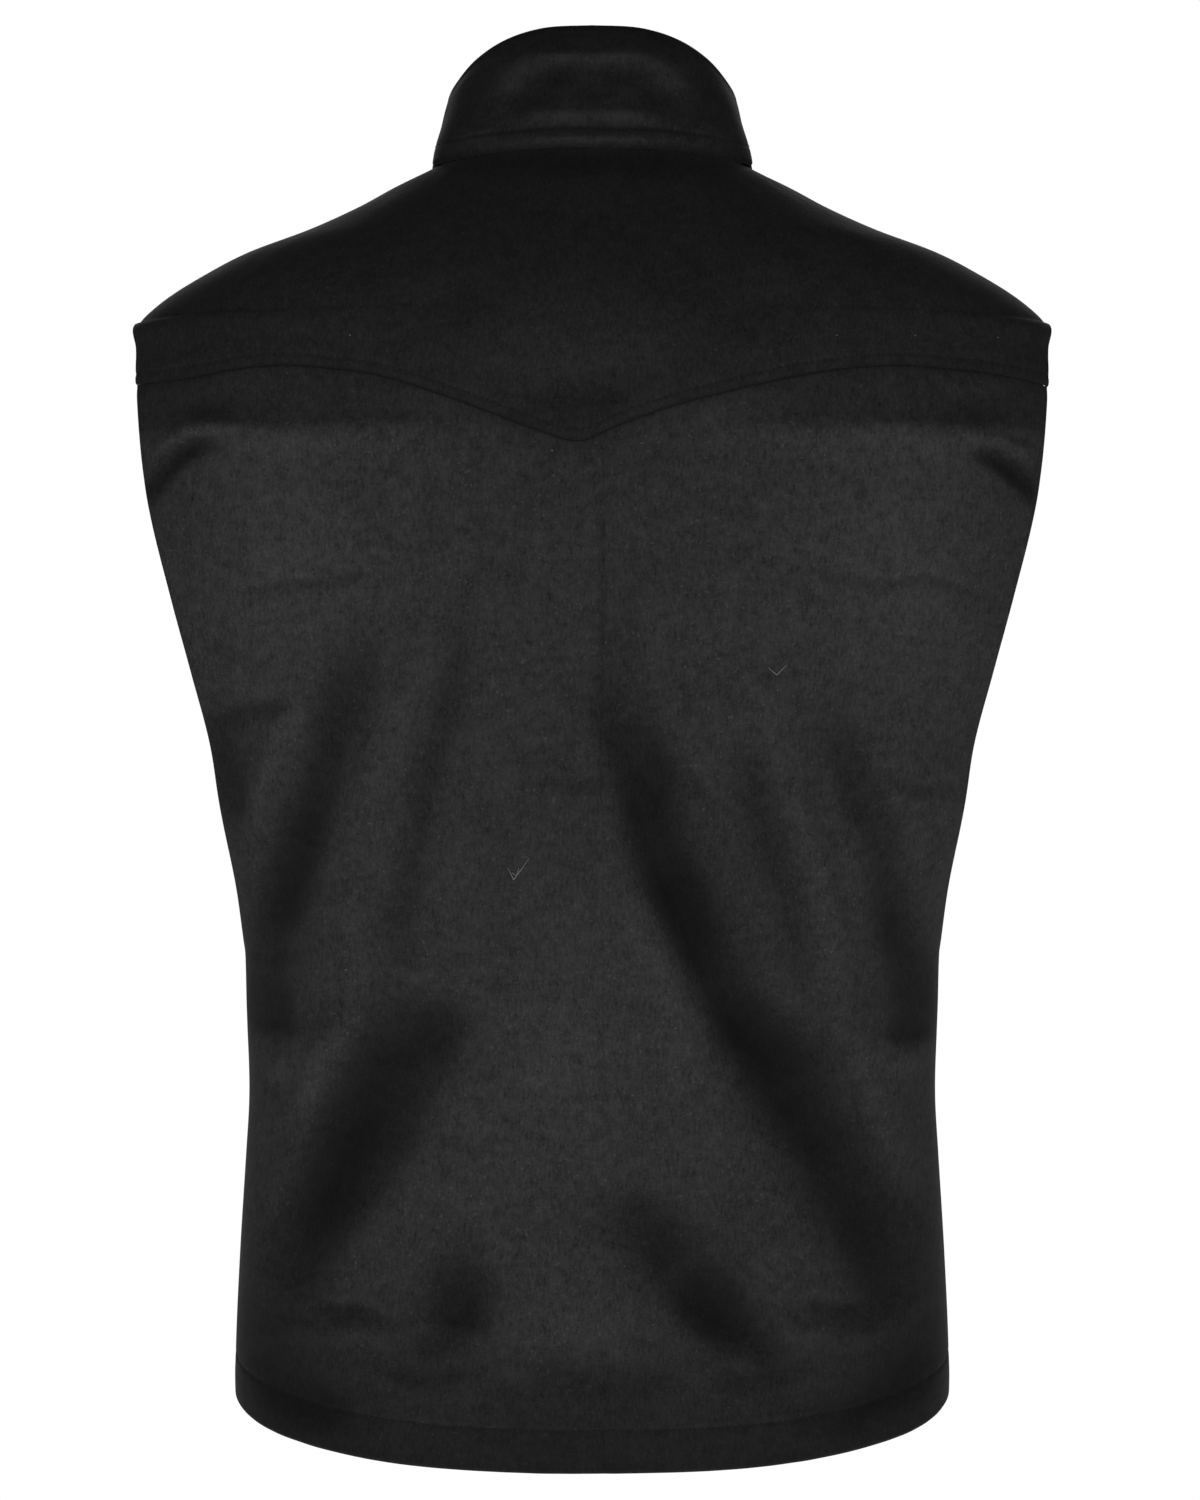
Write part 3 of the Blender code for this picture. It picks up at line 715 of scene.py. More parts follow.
edge = skin("back", UNDERARM, 1.0)[0]
split = CENTRE_BACK / math.hypot(edge[0], edge[1])
back_panels = {}
for side, last in (("back_left", 1.0), ("back_right", -1.0)):
    across = sides_between(split, last, PLAIN, PLAIN, PANEL_WIDTH)
    top = yoke_seam_level(across) + UNDER_YOKE
    levels = rows_between(hem_level(across, HEM_DIP_BACK), top, HEMMED, TUCKED)
    panel = Panel("back", levels, across)
    seam_deep = 0.15 + 0.15 * at_line(panel.levels, 70, SEAM_PULLS_AT)
    relief = -seam_deep * at_line(panel.first, 1.3) + rolled(panel.foot, 0.9)
    tucked = TUCK_DEPTH * smooth((UNDER_YOKE + 0.4 - panel.head) / 1.3)
    relief -= tucked + 0.5 * at_line(panel.head, 4, UNDER_YOKE)
    relief += stitched(panel.foot, HEM_STITCHES, panel.first, 0.4, 1.0, 0.25)
    relief += side_sewn(panel, panel.last)
    puffed = 0.25 * at_line(panel.first, 3, 5)
    relief += puffed * (1 + 0.4 * uneven(panel.foot, 0 * panel.foot, 40, 6))
    panel.press(relief)
    from_yoke = panel.head - UNDER_YOKE
    # Painted shade under the yoke's edge and in a band below it, at the hem's turned edge, in and below the
    # hem's row of stitches, and along the centre back seam, deepest where it pulls.
    panel.painted_light *= painted_shade_below_yoke(panel.points, from_yoke) * painted_shade_line(from_yoke, 1.6, 0.4)
    panel.painted_light *= painted_shade_line(panel.foot, 6, 0.22) * (1 - 0.16 * smooth((HEM_STITCHES - panel.foot) / 2))
    seam_painted_shade = 0.17 * at_line(panel.levels, 60, SEAM_PULLS_AT)
    panel.painted_light *= painted_shade_line(panel.foot, 1.0, 0.2, HEM_STITCHES) * painted_shade_line(panel.first, 2.0, seam_painted_shade)
    back_panels[side] = panel
    piece = shell(side + "_cloth", panel.points, panel.out, panel.painted_light, WALL)
    finish(piece, BODY_WOOL, side)

# The yoke. One pointed piece over the shoulder blades, lapped over the back panels and
# topstitched just above its edge; its shoulders join the fronts and its neck is under the collar.
YOKE_STITCHES = 5.6
# The yoke's wool is the body's wool painted about half as bright, as painted shade where the yoke tilts up
# away from the light.
SHADED_YOKE_WOOL = wool("yoke_melton_painted_shade", 0.0115, 3.0)
TIP_ROWS = (0, 1, 2.2)
LAPPED = (0, 0.4, 0.9, 1.6, 2.6, 3.6, 4.4, 5.0, 5.6, 6.2, 6.8, 7.6, 8.8, 10.4)
across = np.concatenate([
    -sides_between(-split, 1.0, PLAIN, PLAIN, PANEL_WIDTH)[::-1],
    sides_between(split, 1.0, PLAIN, PLAIN, PANEL_WIDTH)[1:],
])
seam = yoke_seam_level(across)
tip = np.full_like(across, SHOULDER_TIP)
levels = np.concatenate([
    rows_between(seam, tip, LAPPED, TIP_ROWS, 2.4),
    rows_between(tip, np.full_like(across, NECK), TIP_ROWS, PLAIN, 1.7)[1:],
])
yoke_panel = Panel("back", levels, across)
foot = yoke_panel.foot
relief = rolled(foot, 0.6, 1.0) + stitched(foot, YOKE_STITCHES, yoke_panel.first, 0.22, 1.0, 0.25)
relief += 0.3 * (1 - smooth((foot - 9) / 8))
for distance in (yoke_panel.first, yoke_panel.last):
    relief += side_sewn(yoke_panel, distance)
yoke_panel.press(relief)
# Painted shade along the yoke's turned lower edge and in its row of stitches.
yoke_panel.painted_light *= painted_shade_line(foot, 1.3, 0.62) * painted_shade_line(foot, 0.9, 0.06, YOKE_STITCHES)
yoke = shell("yoke_cloth", yoke_panel.points, yoke_panel.out, yoke_panel.painted_light, WALL)
finish(yoke, SHADED_YOKE_WOOL, "back_yoke")

# The fronts. Two lengths of the wool, the left lapping over the right, turned in at the armholes and
# turned in and stitched down the front edge and round the hem; plain, as the photo hides them.
HEM_DIP_FRONT = 16.0
FRONT_LAP = 12.0
FRONT_WIDTH = 265
NEAR_MIDDLE = 0.05
# Painted shade on the fronts: from this height up, over this many millimetres, the colour darkens.
SHADED_FROM = -175
SHADED_OVER = 105
front_panels = {}
for side, way in (("front_left", 1.0), ("front_right", -1.0)):
    share = sides_between(0.0, 1.0, EDGED, PLAIN, FRONT_WIDTH)
    tip = np.full_like(share, SHOULDER_TIP)
    levels = np.concatenate([
        rows_between(hem_level(share, HEM_DIP_FRONT), tip, HEMMED, TIP_ROWS),
        rows_between(tip, np.full_like(share, NECK), TIP_ROWS, PLAIN, 1.7)[1:],
    ])
    near_middle = skin("front_right", levels, np.full_like(levels, NEAR_MIDDLE))[0][..., 0]
    across = way * (share - (1 - share) * NEAR_MIDDLE * FRONT_LAP / near_middle)
    panel = Panel(side, levels, across)
    relief = rolled(panel.foot, 0.9) + rolled(panel.first, 0.9) + rolled(panel.head, 0.8)
    relief += stitched(panel.foot, HEM_STITCHES, panel.first, 0.4, 1.0, 0.25)
    relief += stitched(panel.first, EDGE_STITCHES, panel.foot, 0.5, 0.9, 0.4)
    relief += side_sewn(panel, panel.last)
    # Painted shade: the fronts' colour darker towards the top.
    panel.painted_light *= 1 - 0.45 * smooth((panel.points[..., 2] - SHADED_FROM) / SHADED_OVER)
    panel.press(relief)
    front_panels[side] = panel
    piece = shell(side + "_cloth", panel.points, panel.out, panel.painted_light, WALL)
    finish(piece, BODY_WOOL, side)

# The collar. One strip of the wool turned down on itself: the stand rises from the neck seam
# inside, the roll is soft and round, and the leaf falls outside to a puffed, topstitched edge.
COLLAR_ROW = ("turn", "roll", "leaf_edge")
COLLAR_ROWS = (
    (0, 66.3, 1.2),
    (25, 65.2, 0.6),
    (40, 61.5, -1.2),
    (55, 54.8, -3),
    (70, 46.0, -2),
    (90, 36.0, -3),
    (100, 28.0, -7),
    (110, 20.0, -15),
    (120, 10.5, -28),
    (130, 1.0, -46),
    (140, -9.5, -66),
    (150, -20.0, -83),
    (160, -30.0, -96),
    (175, -38.0, -105),
)
COLLAR_ENDS = 172.0
COLLAR_SPREAD = 13.0
COLLAR_WALL = 2.2
HALF_CLOTH = 1.2
STAND_STEPS = 25
ROLL_STEPS = 13
LEAF_START = STAND_STEPS + ROLL_STEPS
NECK_GIRTH_RADIUS = 74
COLLAR_STITCHES = 9.6
ROLL_SIDE = 70.5
ROLL_DEPTH = 62.0
ROLL_RADIUS = 3.6
LEAF_BOW = 1.2
LEAF_CLEARANCE = 0.8
STAND_GAP = 0.7


def neck_at(turn, height):
    """How far out the body is from the neck's middle at a height, its slope, and its top."""
    sizes = section_at(np.linspace(NECK, -200.0, 160))
    behind = abs(turn) <= 90
    depth = sizes["back" if behind else "front"]
    tilt = sizes["rise"] if behind else -sizes["drop"]
    s, c = abs(math.sin(math.radians(turn))), abs(math.cos(math.radians(turn)))
    square = sizes["square"]
    radius = ((s / sizes["half"]) ** square + (c / depth) ** square) ** (-1 / square)
    z = sizes["level"] + tilt * (radius * c / depth) ** TILT_POWER
    at = np.interp(-height, -z, radius)
    return at, (np.interp(-(height - 2.0), -z, radius) - at) / 2.0, radius[0], z[0]


def spread(turn):
    """How many degrees the leaf's edge is spread back from the front, most at the collar's ends."""
    return COLLAR_SPREAD * (abs(turn) / COLLAR_ENDS) ** 4


def collar_line(turn):
    """Middle line of the collar's cloth at one turn, from its foot over the roll to the leaf edge."""
    edge_z = read(COLLAR_ROWS, COLLAR_ROW, "leaf_edge", abs(turn))
    edge_r, lean, _, _ = neck_at(abs(turn) - spread(turn), edge_z)
    _, _, ring_r, ring_z = neck_at(turn, 0.0)
    off_body = (LEAF_CLEARANCE + HALF_CLOTH) * np.array([1.0, lean]) / math.hypot(1, lean)
    leaf = np.array([edge_r, edge_z]) + off_body
    s, c = math.sin(math.radians(turn)), math.cos(math.radians(turn))
    roll_z = read(COLLAR_ROWS, COLLAR_ROW, "roll", abs(turn)) - ROLL_RADIUS - HALF_CLOTH
    roll = np.array([1 / math.hypot(s / ROLL_SIDE, c / ROLL_DEPTH), roll_z])
    foot = np.array([ring_r - HALF_CLOTH, ring_z + STAND_GAP])
    top = roll - (ROLL_RADIUS, 0)
    line = [foot + (top - foot) * share for share in np.linspace(0, 1, STAND_STEPS + 1)[:-1]]
    for a in np.linspace(0, math.pi, ROLL_STEPS):
        line.append(roll + ROLL_RADIUS * np.array([-math.cos(a), math.sin(a)]))
    start = line[-1]
    fall = np.concatenate([np.linspace(0, 0.6, 17)[1:], 1 - 0.4 * np.linspace(1, 0, 31)[1:] ** 1.15])
    for share in fall:
        line.append(start + (leaf - start) * share + (LEAF_BOW * math.sin(math.pi * share), 0))
    return np.array(line)


turns = np.linspace(-COLLAR_ENDS, COLLAR_ENDS, 241)
turns = np.concatenate([turns[:1] + (0, 0.3, 0.7), turns[1:-1], turns[-1:] - (0.7, 0.3, 0)])
lines = np.array([collar_line(turn) for turn in turns])
ahead = np.gradient(lines, axis=1)
ahead /= np.linalg.norm(ahead, axis=-1, keepdims=True)
side = np.stack([-ahead[..., 1], ahead[..., 0]], -1)
to_edge = distances(lines, 1)[1]
step = np.arange(lines.shape[1])
on_leaf = smooth((step - LEAF_START) / 4.0)[None, :]
along = np.radians(turns)[:, None] * NECK_GIRTH_RADIUS
# Dents and bumps of the collar's leaf, as place along, height, width, spread in height and depth. They
# shape the leaf, dents at a share of their depth, and are painted into its colour too: painted shade in
# dents, painted highlight on bumps.
COLLAR_DENTS = (
    (-29, 27, 11, 5.0, -2.5),
    (0, 28.5, 9, 5.0, -2.6),
    (29, 27, 11, 5.0, -2.5),
    (-14, 37, 13, 5.0, -2.0),
    (16, 37, 13, 5.0, -2.0),
    (0, 36, 6, 3.5, 1.2),
    (-17, 48.5, 14, 3.4, 2.6),
    (17, 48.5, 14, 3.4, 2.6),
    (-33, 45.5, 9, 5, 1.6),
    (33, 45.5, 9, 5, 1.6),
    (0, 47, 12, 3.4, 1.2),
    (-42, 38, 11, 8, 2.2),
    (42, 38, 11, 8, 2.2),
    (-15, 18.2, 14, 4.4, 2.5),
    (16, 18.2, 14, 4.4, 2.5),
    (0, 5.0, 30, 3.2, 2.4),
    (54, 9, 10, 6, 1.2),
    (-56, 9, 10, 6, 1.2),
    (64, 26, 12, 14, -0.9),
    (-64, 26, 12, 14, -0.9),
)
DENT_DEPTH_SHARE = 0.35
dents = np.zeros_like(to_edge)
for place, height, wide, tall, depth in COLLAR_DENTS:
    dents += depth * at_line(along, wide, place) * at_line(lines[..., 1], tall, height)
stitches_show = 0.25 + 0.75 * smooth((84 - np.abs(along)) / 34)
relief = stitched(to_edge, COLLAR_STITCHES, along, 0.8, 1.3, 0.2) * stitches_show
relief = rolled(to_edge, 0.8, 1.3) + relief
relief += np.maximum(dents, DENT_DEPTH_SHARE * dents)
relief += 0.35 * uneven(along, to_edge, 30, 12)
relief *= on_leaf
behind = on_leaf * smooth((80 - np.abs(along)) / 60)
# Painted light and shade on the collar: darker in its dents and lighter on its bumps, and painted shade at
# the leaf's edge, in its row of stitches at the back and over the top of its roll.
collar_painted_light = np.exp(0.27 * dents * on_leaf) * painted_shade_line(to_edge, 1.8, 0.45 * on_leaf)
collar_painted_light *= painted_shade_line(to_edge, 1.1, 0.5 * behind, COLLAR_STITCHES)
collar_painted_light *= painted_shade_line(lines[..., 1], 12, 0.62, 64)
end = np.minimum(along - along[0], along[-1] - along)
relief += on_leaf * (rolled(end, 0.8) + stitched(end, EDGE_STITCHES, to_edge, 0.5, 0.9, 0.4))
share = np.clip((step - LEAF_START + 1) / (len(step) - LEAF_START), 0, 1)
turned_back = np.sign(turns) * np.array([spread(turn) for turn in turns])
angle = np.radians(turns[:, None] - turned_back[:, None] * share)


def round_neck(line):
    """Sets lines of distance and height round the neck, each at its own turn."""
    return np.stack([line[..., 0] * np.sin(angle), line[..., 0] * np.cos(angle), line[..., 1]], -1)


outer = round_neck(lines + side * (COLLAR_WALL / 2 + relief[..., None]))
inner = round_neck(lines - side * COLLAR_WALL / 2)
out = outer - inner
out /= np.linalg.norm(out, axis=-1, keepdims=True)
# The collar's wool is the body's wool painted about half as bright, as painted shade where the collar faces
# up away from the light.
SHADED_COLLAR_WOOL = wool("collar_melton_painted_shade", 0.0118, 7.0)
collar = finish(shell("collar_cloth", outer, out, collar_painted_light, COLLAR_WALL), SHADED_COLLAR_WOOL, "collar")

# The topstitching. Rows of black thread, a stitch every 3.3 mm, sunk into the grooves that they
# pull in the cloth: above the yoke's edge, along the hem, down the fronts and above the collar's edge.
THREAD = 0.2
THREAD_SIDES = 6
STITCH_SHAPE = (
    (0.04, 0.25, -1.6),
    (0.14, 0.85, -0.2),
    (0.32, 1.0, 0.7),
    (0.56, 1.0, 0.7),
    (0.74, 0.85, -0.2),
    (0.84, 0.25, -1.6),
)


def row_at(points, out, distance, at, axis):
    """The line on a grid of cloth that runs at a wanted distance from one of its borders."""
    if axis == 0:
        points, out, distance = points.swapaxes(0, 1), out.swapaxes(0, 1), distance.T
    line, ways = [], []
    for place, way, run in zip(points, out, distance):
        order = np.argsort(run)
        if run[order[-1]] < at:
            continue
        line.append([np.interp(at, run[order], place[order, k]) for k in range(3)])
        ways.append([np.interp(at, run[order], way[order, k]) for k in range(3)])
    return np.array(line), np.array(ways)


def joined(name, points, faces):
    """One piece made of many small ones, from points in millimetres."""
    mesh = bpy.data.meshes.new(name)
    mesh.from_pydata([tuple(point) for point in np.array(points) * MM], [], faces)
    mesh.shade_smooth()
    return placed(name, mesh)


def stitches_on(line, ways):
    """Round-ended stitches of thread along a line, as points and faces. The table of a stitch's
    shape holds the place along it, and its thickness and its height in thicknesses of thread."""
    run = np.concatenate([[0], np.linalg.norm(np.diff(line, axis=0), axis=-1).cumsum()])
    shares, sizes, lifts = np.array(STITCH_SHAPE).T
    sizes, lifts = THREAD * sizes, THREAD * lifts
    rings = len(shares)
    verts, faces = [], []
    for start in np.arange(0.4, run[-1] - STITCH, STITCH):
        places = start + STITCH * shares
        centre = np.stack([np.interp(places, run, line[:, k]) for k in range(3)], -1)
        up = np.stack([np.interp(places, run, ways[:, k]) for k in range(3)], -1)
        up /= np.linalg.norm(up, axis=-1, keepdims=True)
        ahead = centre[-1] - centre[0]
        ahead = ahead / np.linalg.norm(ahead)
        over = np.cross(up, ahead)
        base = len(verts)
        for ring in range(rings):
            for turn in np.linspace(0, 2 * math.pi, THREAD_SIDES + 1)[:-1]:
                way = math.cos(turn) * over[ring] + math.sin(turn) * up[ring]
                verts.append(centre[ring] + up[ring] * lifts[ring] + way * sizes[ring])
        faces += tube_faces(base, rings, THREAD_SIDES)
        faces.append(tuple(base + k for k in reversed(range(THREAD_SIDES))))
        faces.append(tuple(base + (rings - 1) * THREAD_SIDES + k for k in range(THREAD_SIDES)))
    return verts, faces


def tube_faces(base, rings, sides):
    """The faces between rings of points that follow one another from a first number."""
    faces = []
    for ring in range(rings - 1):
        for k in range(sides):
            a, b = base + ring * sides + k, base + ring * sides + (k + 1) % sides
            faces.append((a, b, b + sides, a + sides))
    return faces


def thread_finish():
    material, start, shader = blank("black_thread", {"Roughness": 0.8, "Specular IOR Level": 0.2})
    twist = start.noise(0.35, 1, 0.5, 2.0)
    twist.colour((0.004, 0.004, 0.0043), (0.012, 0.012, 0.0125)).feeds(shader, "Base Color")
    return material


BLACK_THREAD = thread_finish()


def stitching(name, rows):
    """Rows of stitches as one piece."""
    verts, faces = [], []
    for line, ways in rows:
        more, more_faces = stitches_on(line, ways)
        faces += [tuple(i + len(verts) for i in face) for face in more_faces]
        verts += more
    finish(joined(name, verts, faces), BLACK_THREAD)


rows = [row_at(yoke_panel.points, yoke_panel.out, yoke_panel.foot, YOKE_STITCHES, 0)]
stitching("yoke_stitching", rows)
hemmed = (*back_panels.values(), *front_panels.values())
rows = [row_at(p.points, p.out, p.foot, HEM_STITCHES, 0) for p in hemmed]
stitching("hem_stitching", rows)
rows = [row_at(p.points, p.out, p.first, EDGE_STITCHES, 1) for p in front_panels.values()]
stitching("front_edge_stitching", rows)
leaf = slice(LEAF_START + 2, None)
rows = [row_at(outer[:, leaf], out[:, leaf], to_edge[:, leaf], COLLAR_STITCHES, 1)]
stitching("collar_stitching", rows)

# The buttons. Five plain four-hole buttons of dark horn-like plastic, 18 mm across with a raised
# rim, seated on the centre line of the left front and sewn through with black thread.
BUTTON_HEIGHTS = (-105, -220, -335, -450, -565)
BUTTON_THICKNESS = 3.2
BUTTON_SIDES = 48
BUTTON_FACE = 2.25
HOLE_OFFSET = 1.9
HOLE_RADIUS = 0.95
SEWING_THREAD = 0.2
SEWING_CROSSES = 0.3
SEWING_PATH = ((0, -1.0), (0.02, 0.2), (0.25, 0.45), (0.5, 0.5), (0.75, 0.45), (0.98, 0.2), (1, -1.0))
BUTTON_PROFILE = (
    (0.0, 0.0),
    (7.6, 0.0),
    (8.6, 0.5),
    (9.0, 1.3),
    (8.9, 2.3),
    (8.3, 3.0),
    (7.5, 3.2),
    (6.8, 3.0),
    (6.2, 2.5),
    (5.4, 2.25),
    (0.0, 2.2),
)


def horn_finish():
    material, start, shader = blank("dark_horn_plastic", {"Specular IOR Level": 0.35})
    swirl = start.noise(7, 4, 0.6, 4.0, (1, 1, 0.5)).steps(0.3, 0.75)
    swirl.colour((0.006, 0.0055, 0.0055), (0.024, 0.020, 0.018)).feeds(shader, "Base Color")
    rough = 0.34 + 0.2 * start.noise(1.6, 2, 0.5, 1.0)
    rough.feeds(shader, "Roughness")
    return material


def hole_at(number):
    """The middle of one of the four holes, from the middle of the button."""
    turn = math.pi / 4 + number * math.pi / 2
    return Vector((HOLE_OFFSET * math.cos(turn), HOLE_OFFSET * math.sin(turn), 0))


def turned_button():
    """A button turned to its profile and drilled, its back at the origin."""
    work = bmesh.new()
    rings = []
    for radius, height in BUTTON_PROFILE:
        sides = BUTTON_SIDES if radius else 1
        ring = []
        for k in range(sides):
            a = 2 * math.pi * k / BUTTON_SIDES
            ring.append(work.verts.new((radius * MM * math.cos(a), radius * MM * math.sin(a), height * MM)))
        rings.append(ring)
    for low, high in zip(rings, rings[1:]):
        for k in range(BUTTON_SIDES):
            ends = [low[k % len(low)], low[(k + 1) % len(low)]]
            ends += [high[(k + 1) % len(high)], high[k % len(high)]]
            work.faces.new(list(dict.fromkeys(ends)))
    bmesh.ops.recalc_face_normals(work, faces=work.faces)
    mesh = bpy.data.meshes.new("turned_button")
    work.to_mesh(mesh)
    work.free()
    button = placed("turned_button", mesh)
    drill = bmesh.new()
    bit = {"radius1": HOLE_RADIUS * MM, "radius2": HOLE_RADIUS * MM, "depth": 12 * MM}
    for number in range(4):
        made = bmesh.ops.create_cone(drill, cap_ends=True, segments=16, **bit)
        bmesh.ops.translate(drill, verts=made["verts"], vec=hole_at(number) * MM)
    holes = bpy.data.meshes.new("button_holes")
    drill.to_mesh(holes)
    drill.free()
    drills = placed("button_holes", holes)
    cut = button.modifiers.new("holes", "BOOLEAN")
    cut.object = drills
    bpy.context.view_layer.update()
    made = bpy.data.meshes.new_from_object(button.evaluated_get(bpy.context.evaluated_depsgraph_get()))
    bpy.data.objects.remove(button)
    bpy.data.objects.remove(drills)
    made.polygons.foreach_set("use_smooth", [True] * len(made.polygons))
    made.set_sharp_from_angle(angle=math.radians(40))
    return made


def sewing_line(first, second, slip):
    """A thread from one hole to the one across, on the button's face."""
    start, end = hole_at(first), hole_at(second)
    aside = (end - start).normalized().cross(Vector((0, 0, 1))) * slip
    line = []
    for share, lift in SEWING_PATH:
        place = start.lerp(end, share) + aside
        place.z += BUTTON_FACE - BUTTON_THICKNESS / 2 + lift
        if first and share == 0.5:
            place.z += SEWING_CROSSES
        line.append(place)
    return line, aside


HORN = horn_finish()
button_mesh = turned_button()
left = front_panels["front_left"]
sew_verts, sew_faces = [], []
for number, height in enumerate(BUTTON_HEIGHTS, 1):
    middle = (np.abs(left.points[..., 0]) + 3 * np.abs(left.points[..., 2] - height)).argmin()
    j, i = np.unravel_index(middle, left.fold.shape)
    low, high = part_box(f"button_{number}")
    centre = (low + high) / 2
    normal = Vector(left.out[j, i]).normalized()
    button = placed(f"sewn_button_{number}", button_mesh.copy())
    turn = normal.to_track_quat("Z", "Y").to_matrix().to_4x4()
    button.data.transform(turn)
    for vert in button.data.vertices:
        vert.co += centre - normal * BUTTON_THICKNESS / 2 * MM
    finish(button, HORN, f"button_{number}")
    for first, second in ((0, 2), (1, 3)):
        for slip in (-0.35, 0, 0.35):
            line, aside = sewing_line(first, second, slip)
            line = [turn @ place + centre / MM for place in line]
            sew_faces += tube_faces(len(sew_verts), len(line), THREAD_SIDES)
            for k, place in enumerate(line):
                ahead = (line[min(k + 1, 6)] - line[max(k - 1, 0)]).normalized()
                upright = abs(normal.dot(ahead)) >= 0.95
                over = aside.normalized() if upright else normal.cross(ahead).normalized()
                up = ahead.cross(over)
                for side in range(THREAD_SIDES):
                    a = side * 2 * math.pi / THREAD_SIDES
                    sew_verts.append(place + (over * math.cos(a) + up * math.sin(a)) * SEWING_THREAD)
finish(joined("button_thread", sew_verts, sew_faces), BLACK_THREAD)

# The lint. A few pale fibres and specks of fluff, caught in the nap of the back and the yoke and
# lying loose on it.
LINT_THICK = 0.26
LINT_SIDES = 5
LINT_FIBRES = (
    (41.5, -357.0, 38.5, -363.0, 31.0, -352.5),
    (39.5, -359.5, 37.0, -361.0, 36.0, -357.0),
    (-87.0, -258.5, -91.0, -262.0, -96.0, -257.0),
)
LINT_SPECKS = (
    (19.5, -152.0, 0.55),
    (-24.5, -148.5, 0.5),
    (-91.5, -269.5, 0.5),
    (122.5, -408.5, 0.55),
    (-122.0, -407.5, 0.45),
    (119.5, -94.0, 0.5),
    (-121.0, -94.0, 0.5),
    (-160.5, -93.0, 0.5),
    (-203.5, -92.0, 0.5),
    (60.0, -520.0, 0.4),
    (-20.0, -470.0, 0.35),
    (84.0, -300.0, 0.35),
    (-60.0, -230.0, 0.35),
)


def on_cloth(x, z):
    """The place on the back or the yoke seen at a distance across and a height, and the way out."""
    best = None
    for panel in (*back_panels.values(), yoke_panel):
        away = np.hypot(panel.points[..., 0] - x, panel.points[..., 2] - z)
        j, i = np.unravel_index(away.argmin(), away.shape)
        if best is None or away[j, i] < best[0]:
            best = (away[j, i], panel.points[j, i], panel.out[j, i])
    slide = np.array([x, 0, z]) - best[1] * (1, 0, 1)
    slide[1] = -(slide @ best[2]) / best[2][1]
    return best[1] + slide, best[2]


def lint_finish():
    material, start, shader = blank("pale_lint", {"Roughness": 0.9})
    tint = start.noise(0.8, 1, 0.5, 6.0)
    tint.colour((0.08, 0.08, 0.08), (0.20, 0.20, 0.197)).feeds(shader, "Base Color")
    return material


verts, faces = [], []
for row in LINT_FIBRES:
    places = [on_cloth(row[k], row[k + 1]) for k in (0, 2, 4)]
    line = []
    for (a, up_a), (b, _) in zip(places, places[1:]):
        line += [(a + (b - a) * t + up_a * 0.3, up_a) for t in np.linspace(0, 1, 7)]
    faces += tube_faces(len(verts), len(line), LINT_SIDES)
    for k, (place, up) in enumerate(line):
        ahead = line[min(k + 1, len(line) - 1)][0] - line[max(k - 1, 0)][0]
        ahead = ahead / np.linalg.norm(ahead)
        over = np.cross(up, ahead)
        thick = LINT_THICK * math.sin(math.pi * (k + 0.7) / (len(line) + 0.4)) ** 0.4
        for t in np.linspace(0, 2 * math.pi, LINT_SIDES + 1)[:-1]:
            verts.append(place + (over * math.cos(t) + up * math.sin(t)) * thick)
chance = np.random.default_rng(14)
for x, z, size in LINT_SPECKS:
    place, up = on_cloth(x, z)
    base = len(verts)
    for way in ((1, 0, 0), (-1, 0, 0), (0, 1, 0), (0, -1, 0), (0, 0, 1), (0, 0, -1)):
        verts.append(place + up * 0.15 + size * np.array(way) * chance.uniform(0.6, 1.2))
    for tri in ((0, 2, 4), (2, 1, 4), (1, 3, 4), (3, 0, 4), (2, 0, 5), (1, 2, 5), (3, 1, 5), (0, 3, 5)):
        faces.append(tuple(base + k for k in tri))
finish(joined("lint", verts, faces), lint_finish())

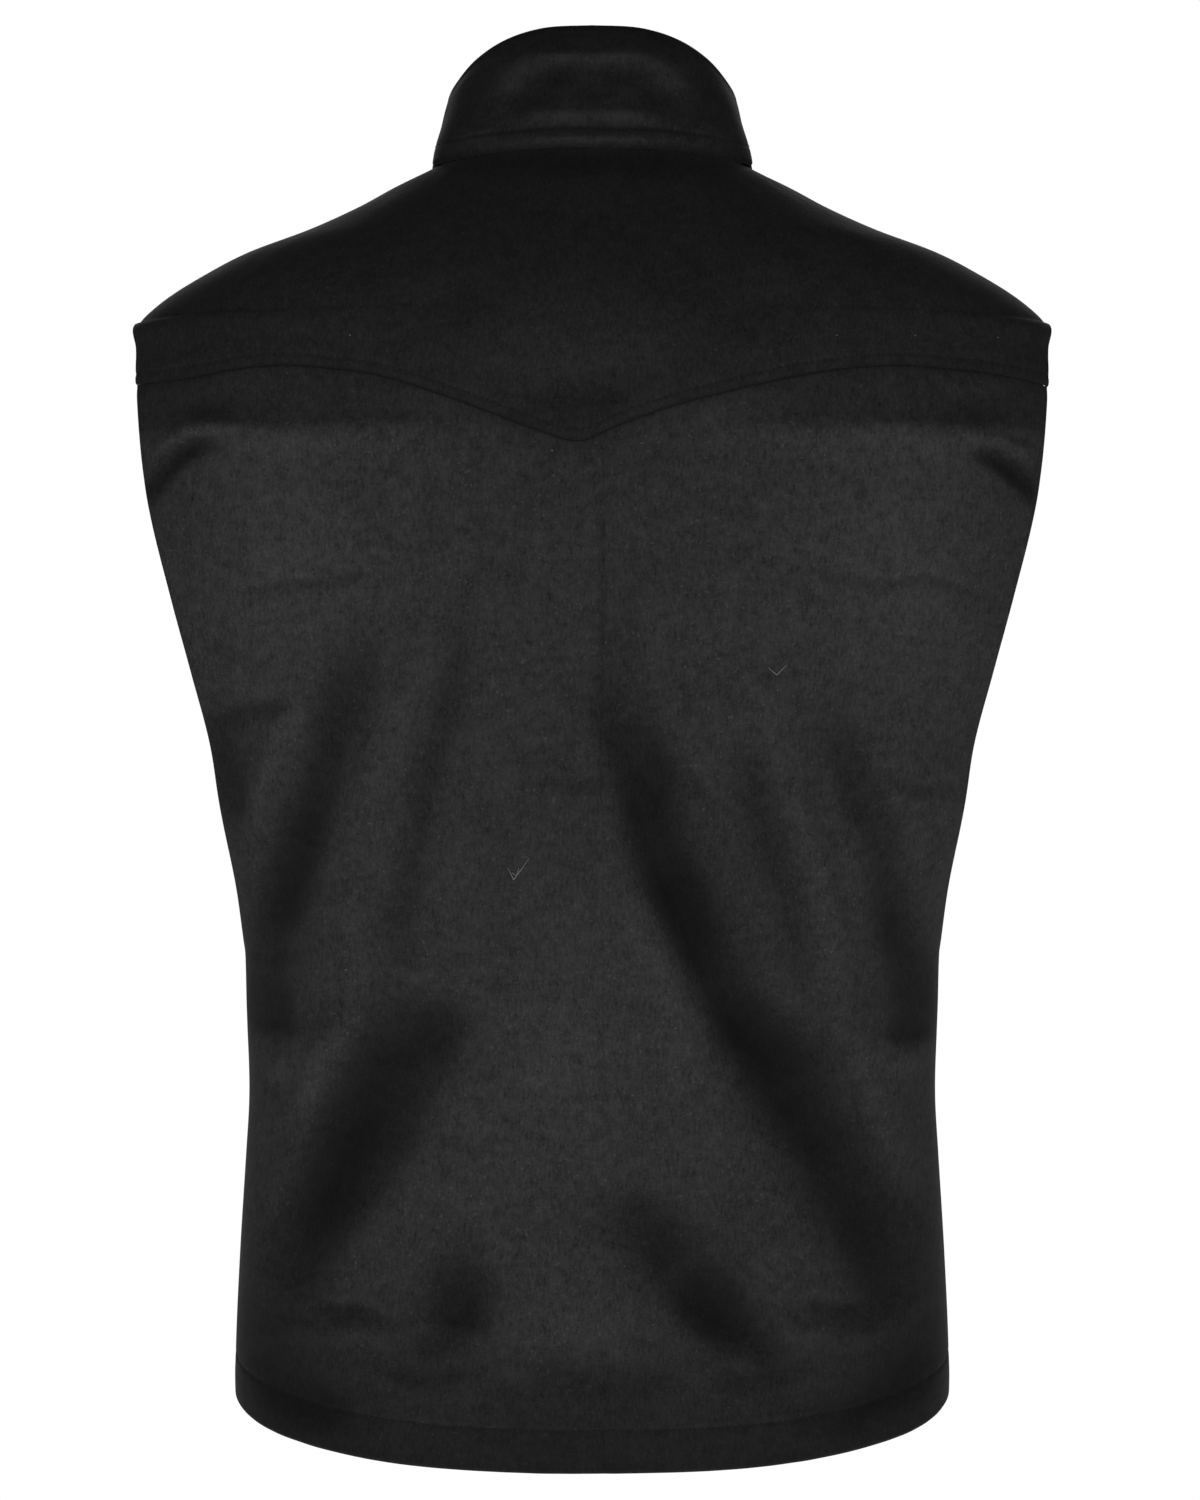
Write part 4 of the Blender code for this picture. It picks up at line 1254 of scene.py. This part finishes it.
# The studio. A small glowing white floor under the vest and a white surround that hardly lights it;
# a wide soft lamp level with the vest on the camera's side, two low beside it and two high in front.
FLOOR_HALF = 1.2
FLOOR_LEVEL = -1.1
VEST_MIDDLE = Vector((0, 0, -0.35))
CAMERA_PLACE = (-0.004, 2.3, -0.299)
LAMPS = (
    ("camera_side_lamp", (0, 3.8, -0.3), 1.9, 42),
    ("left_lamp", (1.3, 3.5, -0.95), 1.6, 25),
    ("right_lamp", (-1.3, 3.5, -0.95), 1.6, 25),
    ("front_left_lamp", (1.0, -3.3, 1.5), 1.8, 30),
    ("front_right_lamp", (-1.0, -3.3, 1.5), 1.8, 30),
)
floor_mesh = bpy.data.meshes.new("studio_floor")
ways = ((-1, -1), (1, -1), (1, 1), (-1, 1))
corners = [(x * FLOOR_HALF, y * FLOOR_HALF, FLOOR_LEVEL) for x, y in ways]
floor_mesh.from_pydata(corners, [], [(0, 1, 2, 3)])
floor = placed("studio_floor", floor_mesh)
glow = {
    "Base Color": (0.9, 0.9, 0.9, 1),
    "Roughness": 0.8,
    "Emission Color": (1, 1, 1, 1),
    "Emission Strength": 0.95,
}
floor.data.materials.append(blank("studio_white", glow)[0])
floor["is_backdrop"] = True

world = bpy.data.worlds.new("studio_surround")
bpy.context.scene.world = world
world.use_nodes = True
background = world.node_tree.nodes["Background"]
background.inputs["Color"].default_value = (1, 1, 1, 1)
ray = Wire(world.node_tree).node("ShaderNodeLightPath", output="Is Camera Ray")
(0.04 + 0.98 * ray).feeds(background, "Strength")

for name, place, size, power in LAMPS:
    lamp = bpy.data.lights.new(name, "AREA")
    lamp.shape = "DISK"
    lamp.size = size
    lamp.energy = power
    holder = placed(name, lamp)
    holder.location = place
    holder.rotation_euler = (VEST_MIDDLE - Vector(place)).to_track_quat("-Z", "Y").to_euler()

camera = placed("camera", bpy.data.cameras.new("camera"))
camera.data.sensor_width = 36.0
camera.data.lens = 106.6
camera.location = CAMERA_PLACE
camera.rotation_euler = (math.radians(90), 0, math.radians(180))
bpy.context.scene.camera = camera
bpy.context.scene.view_settings.view_transform = "Standard"

bpy.context.view_layer.update()
low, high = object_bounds()
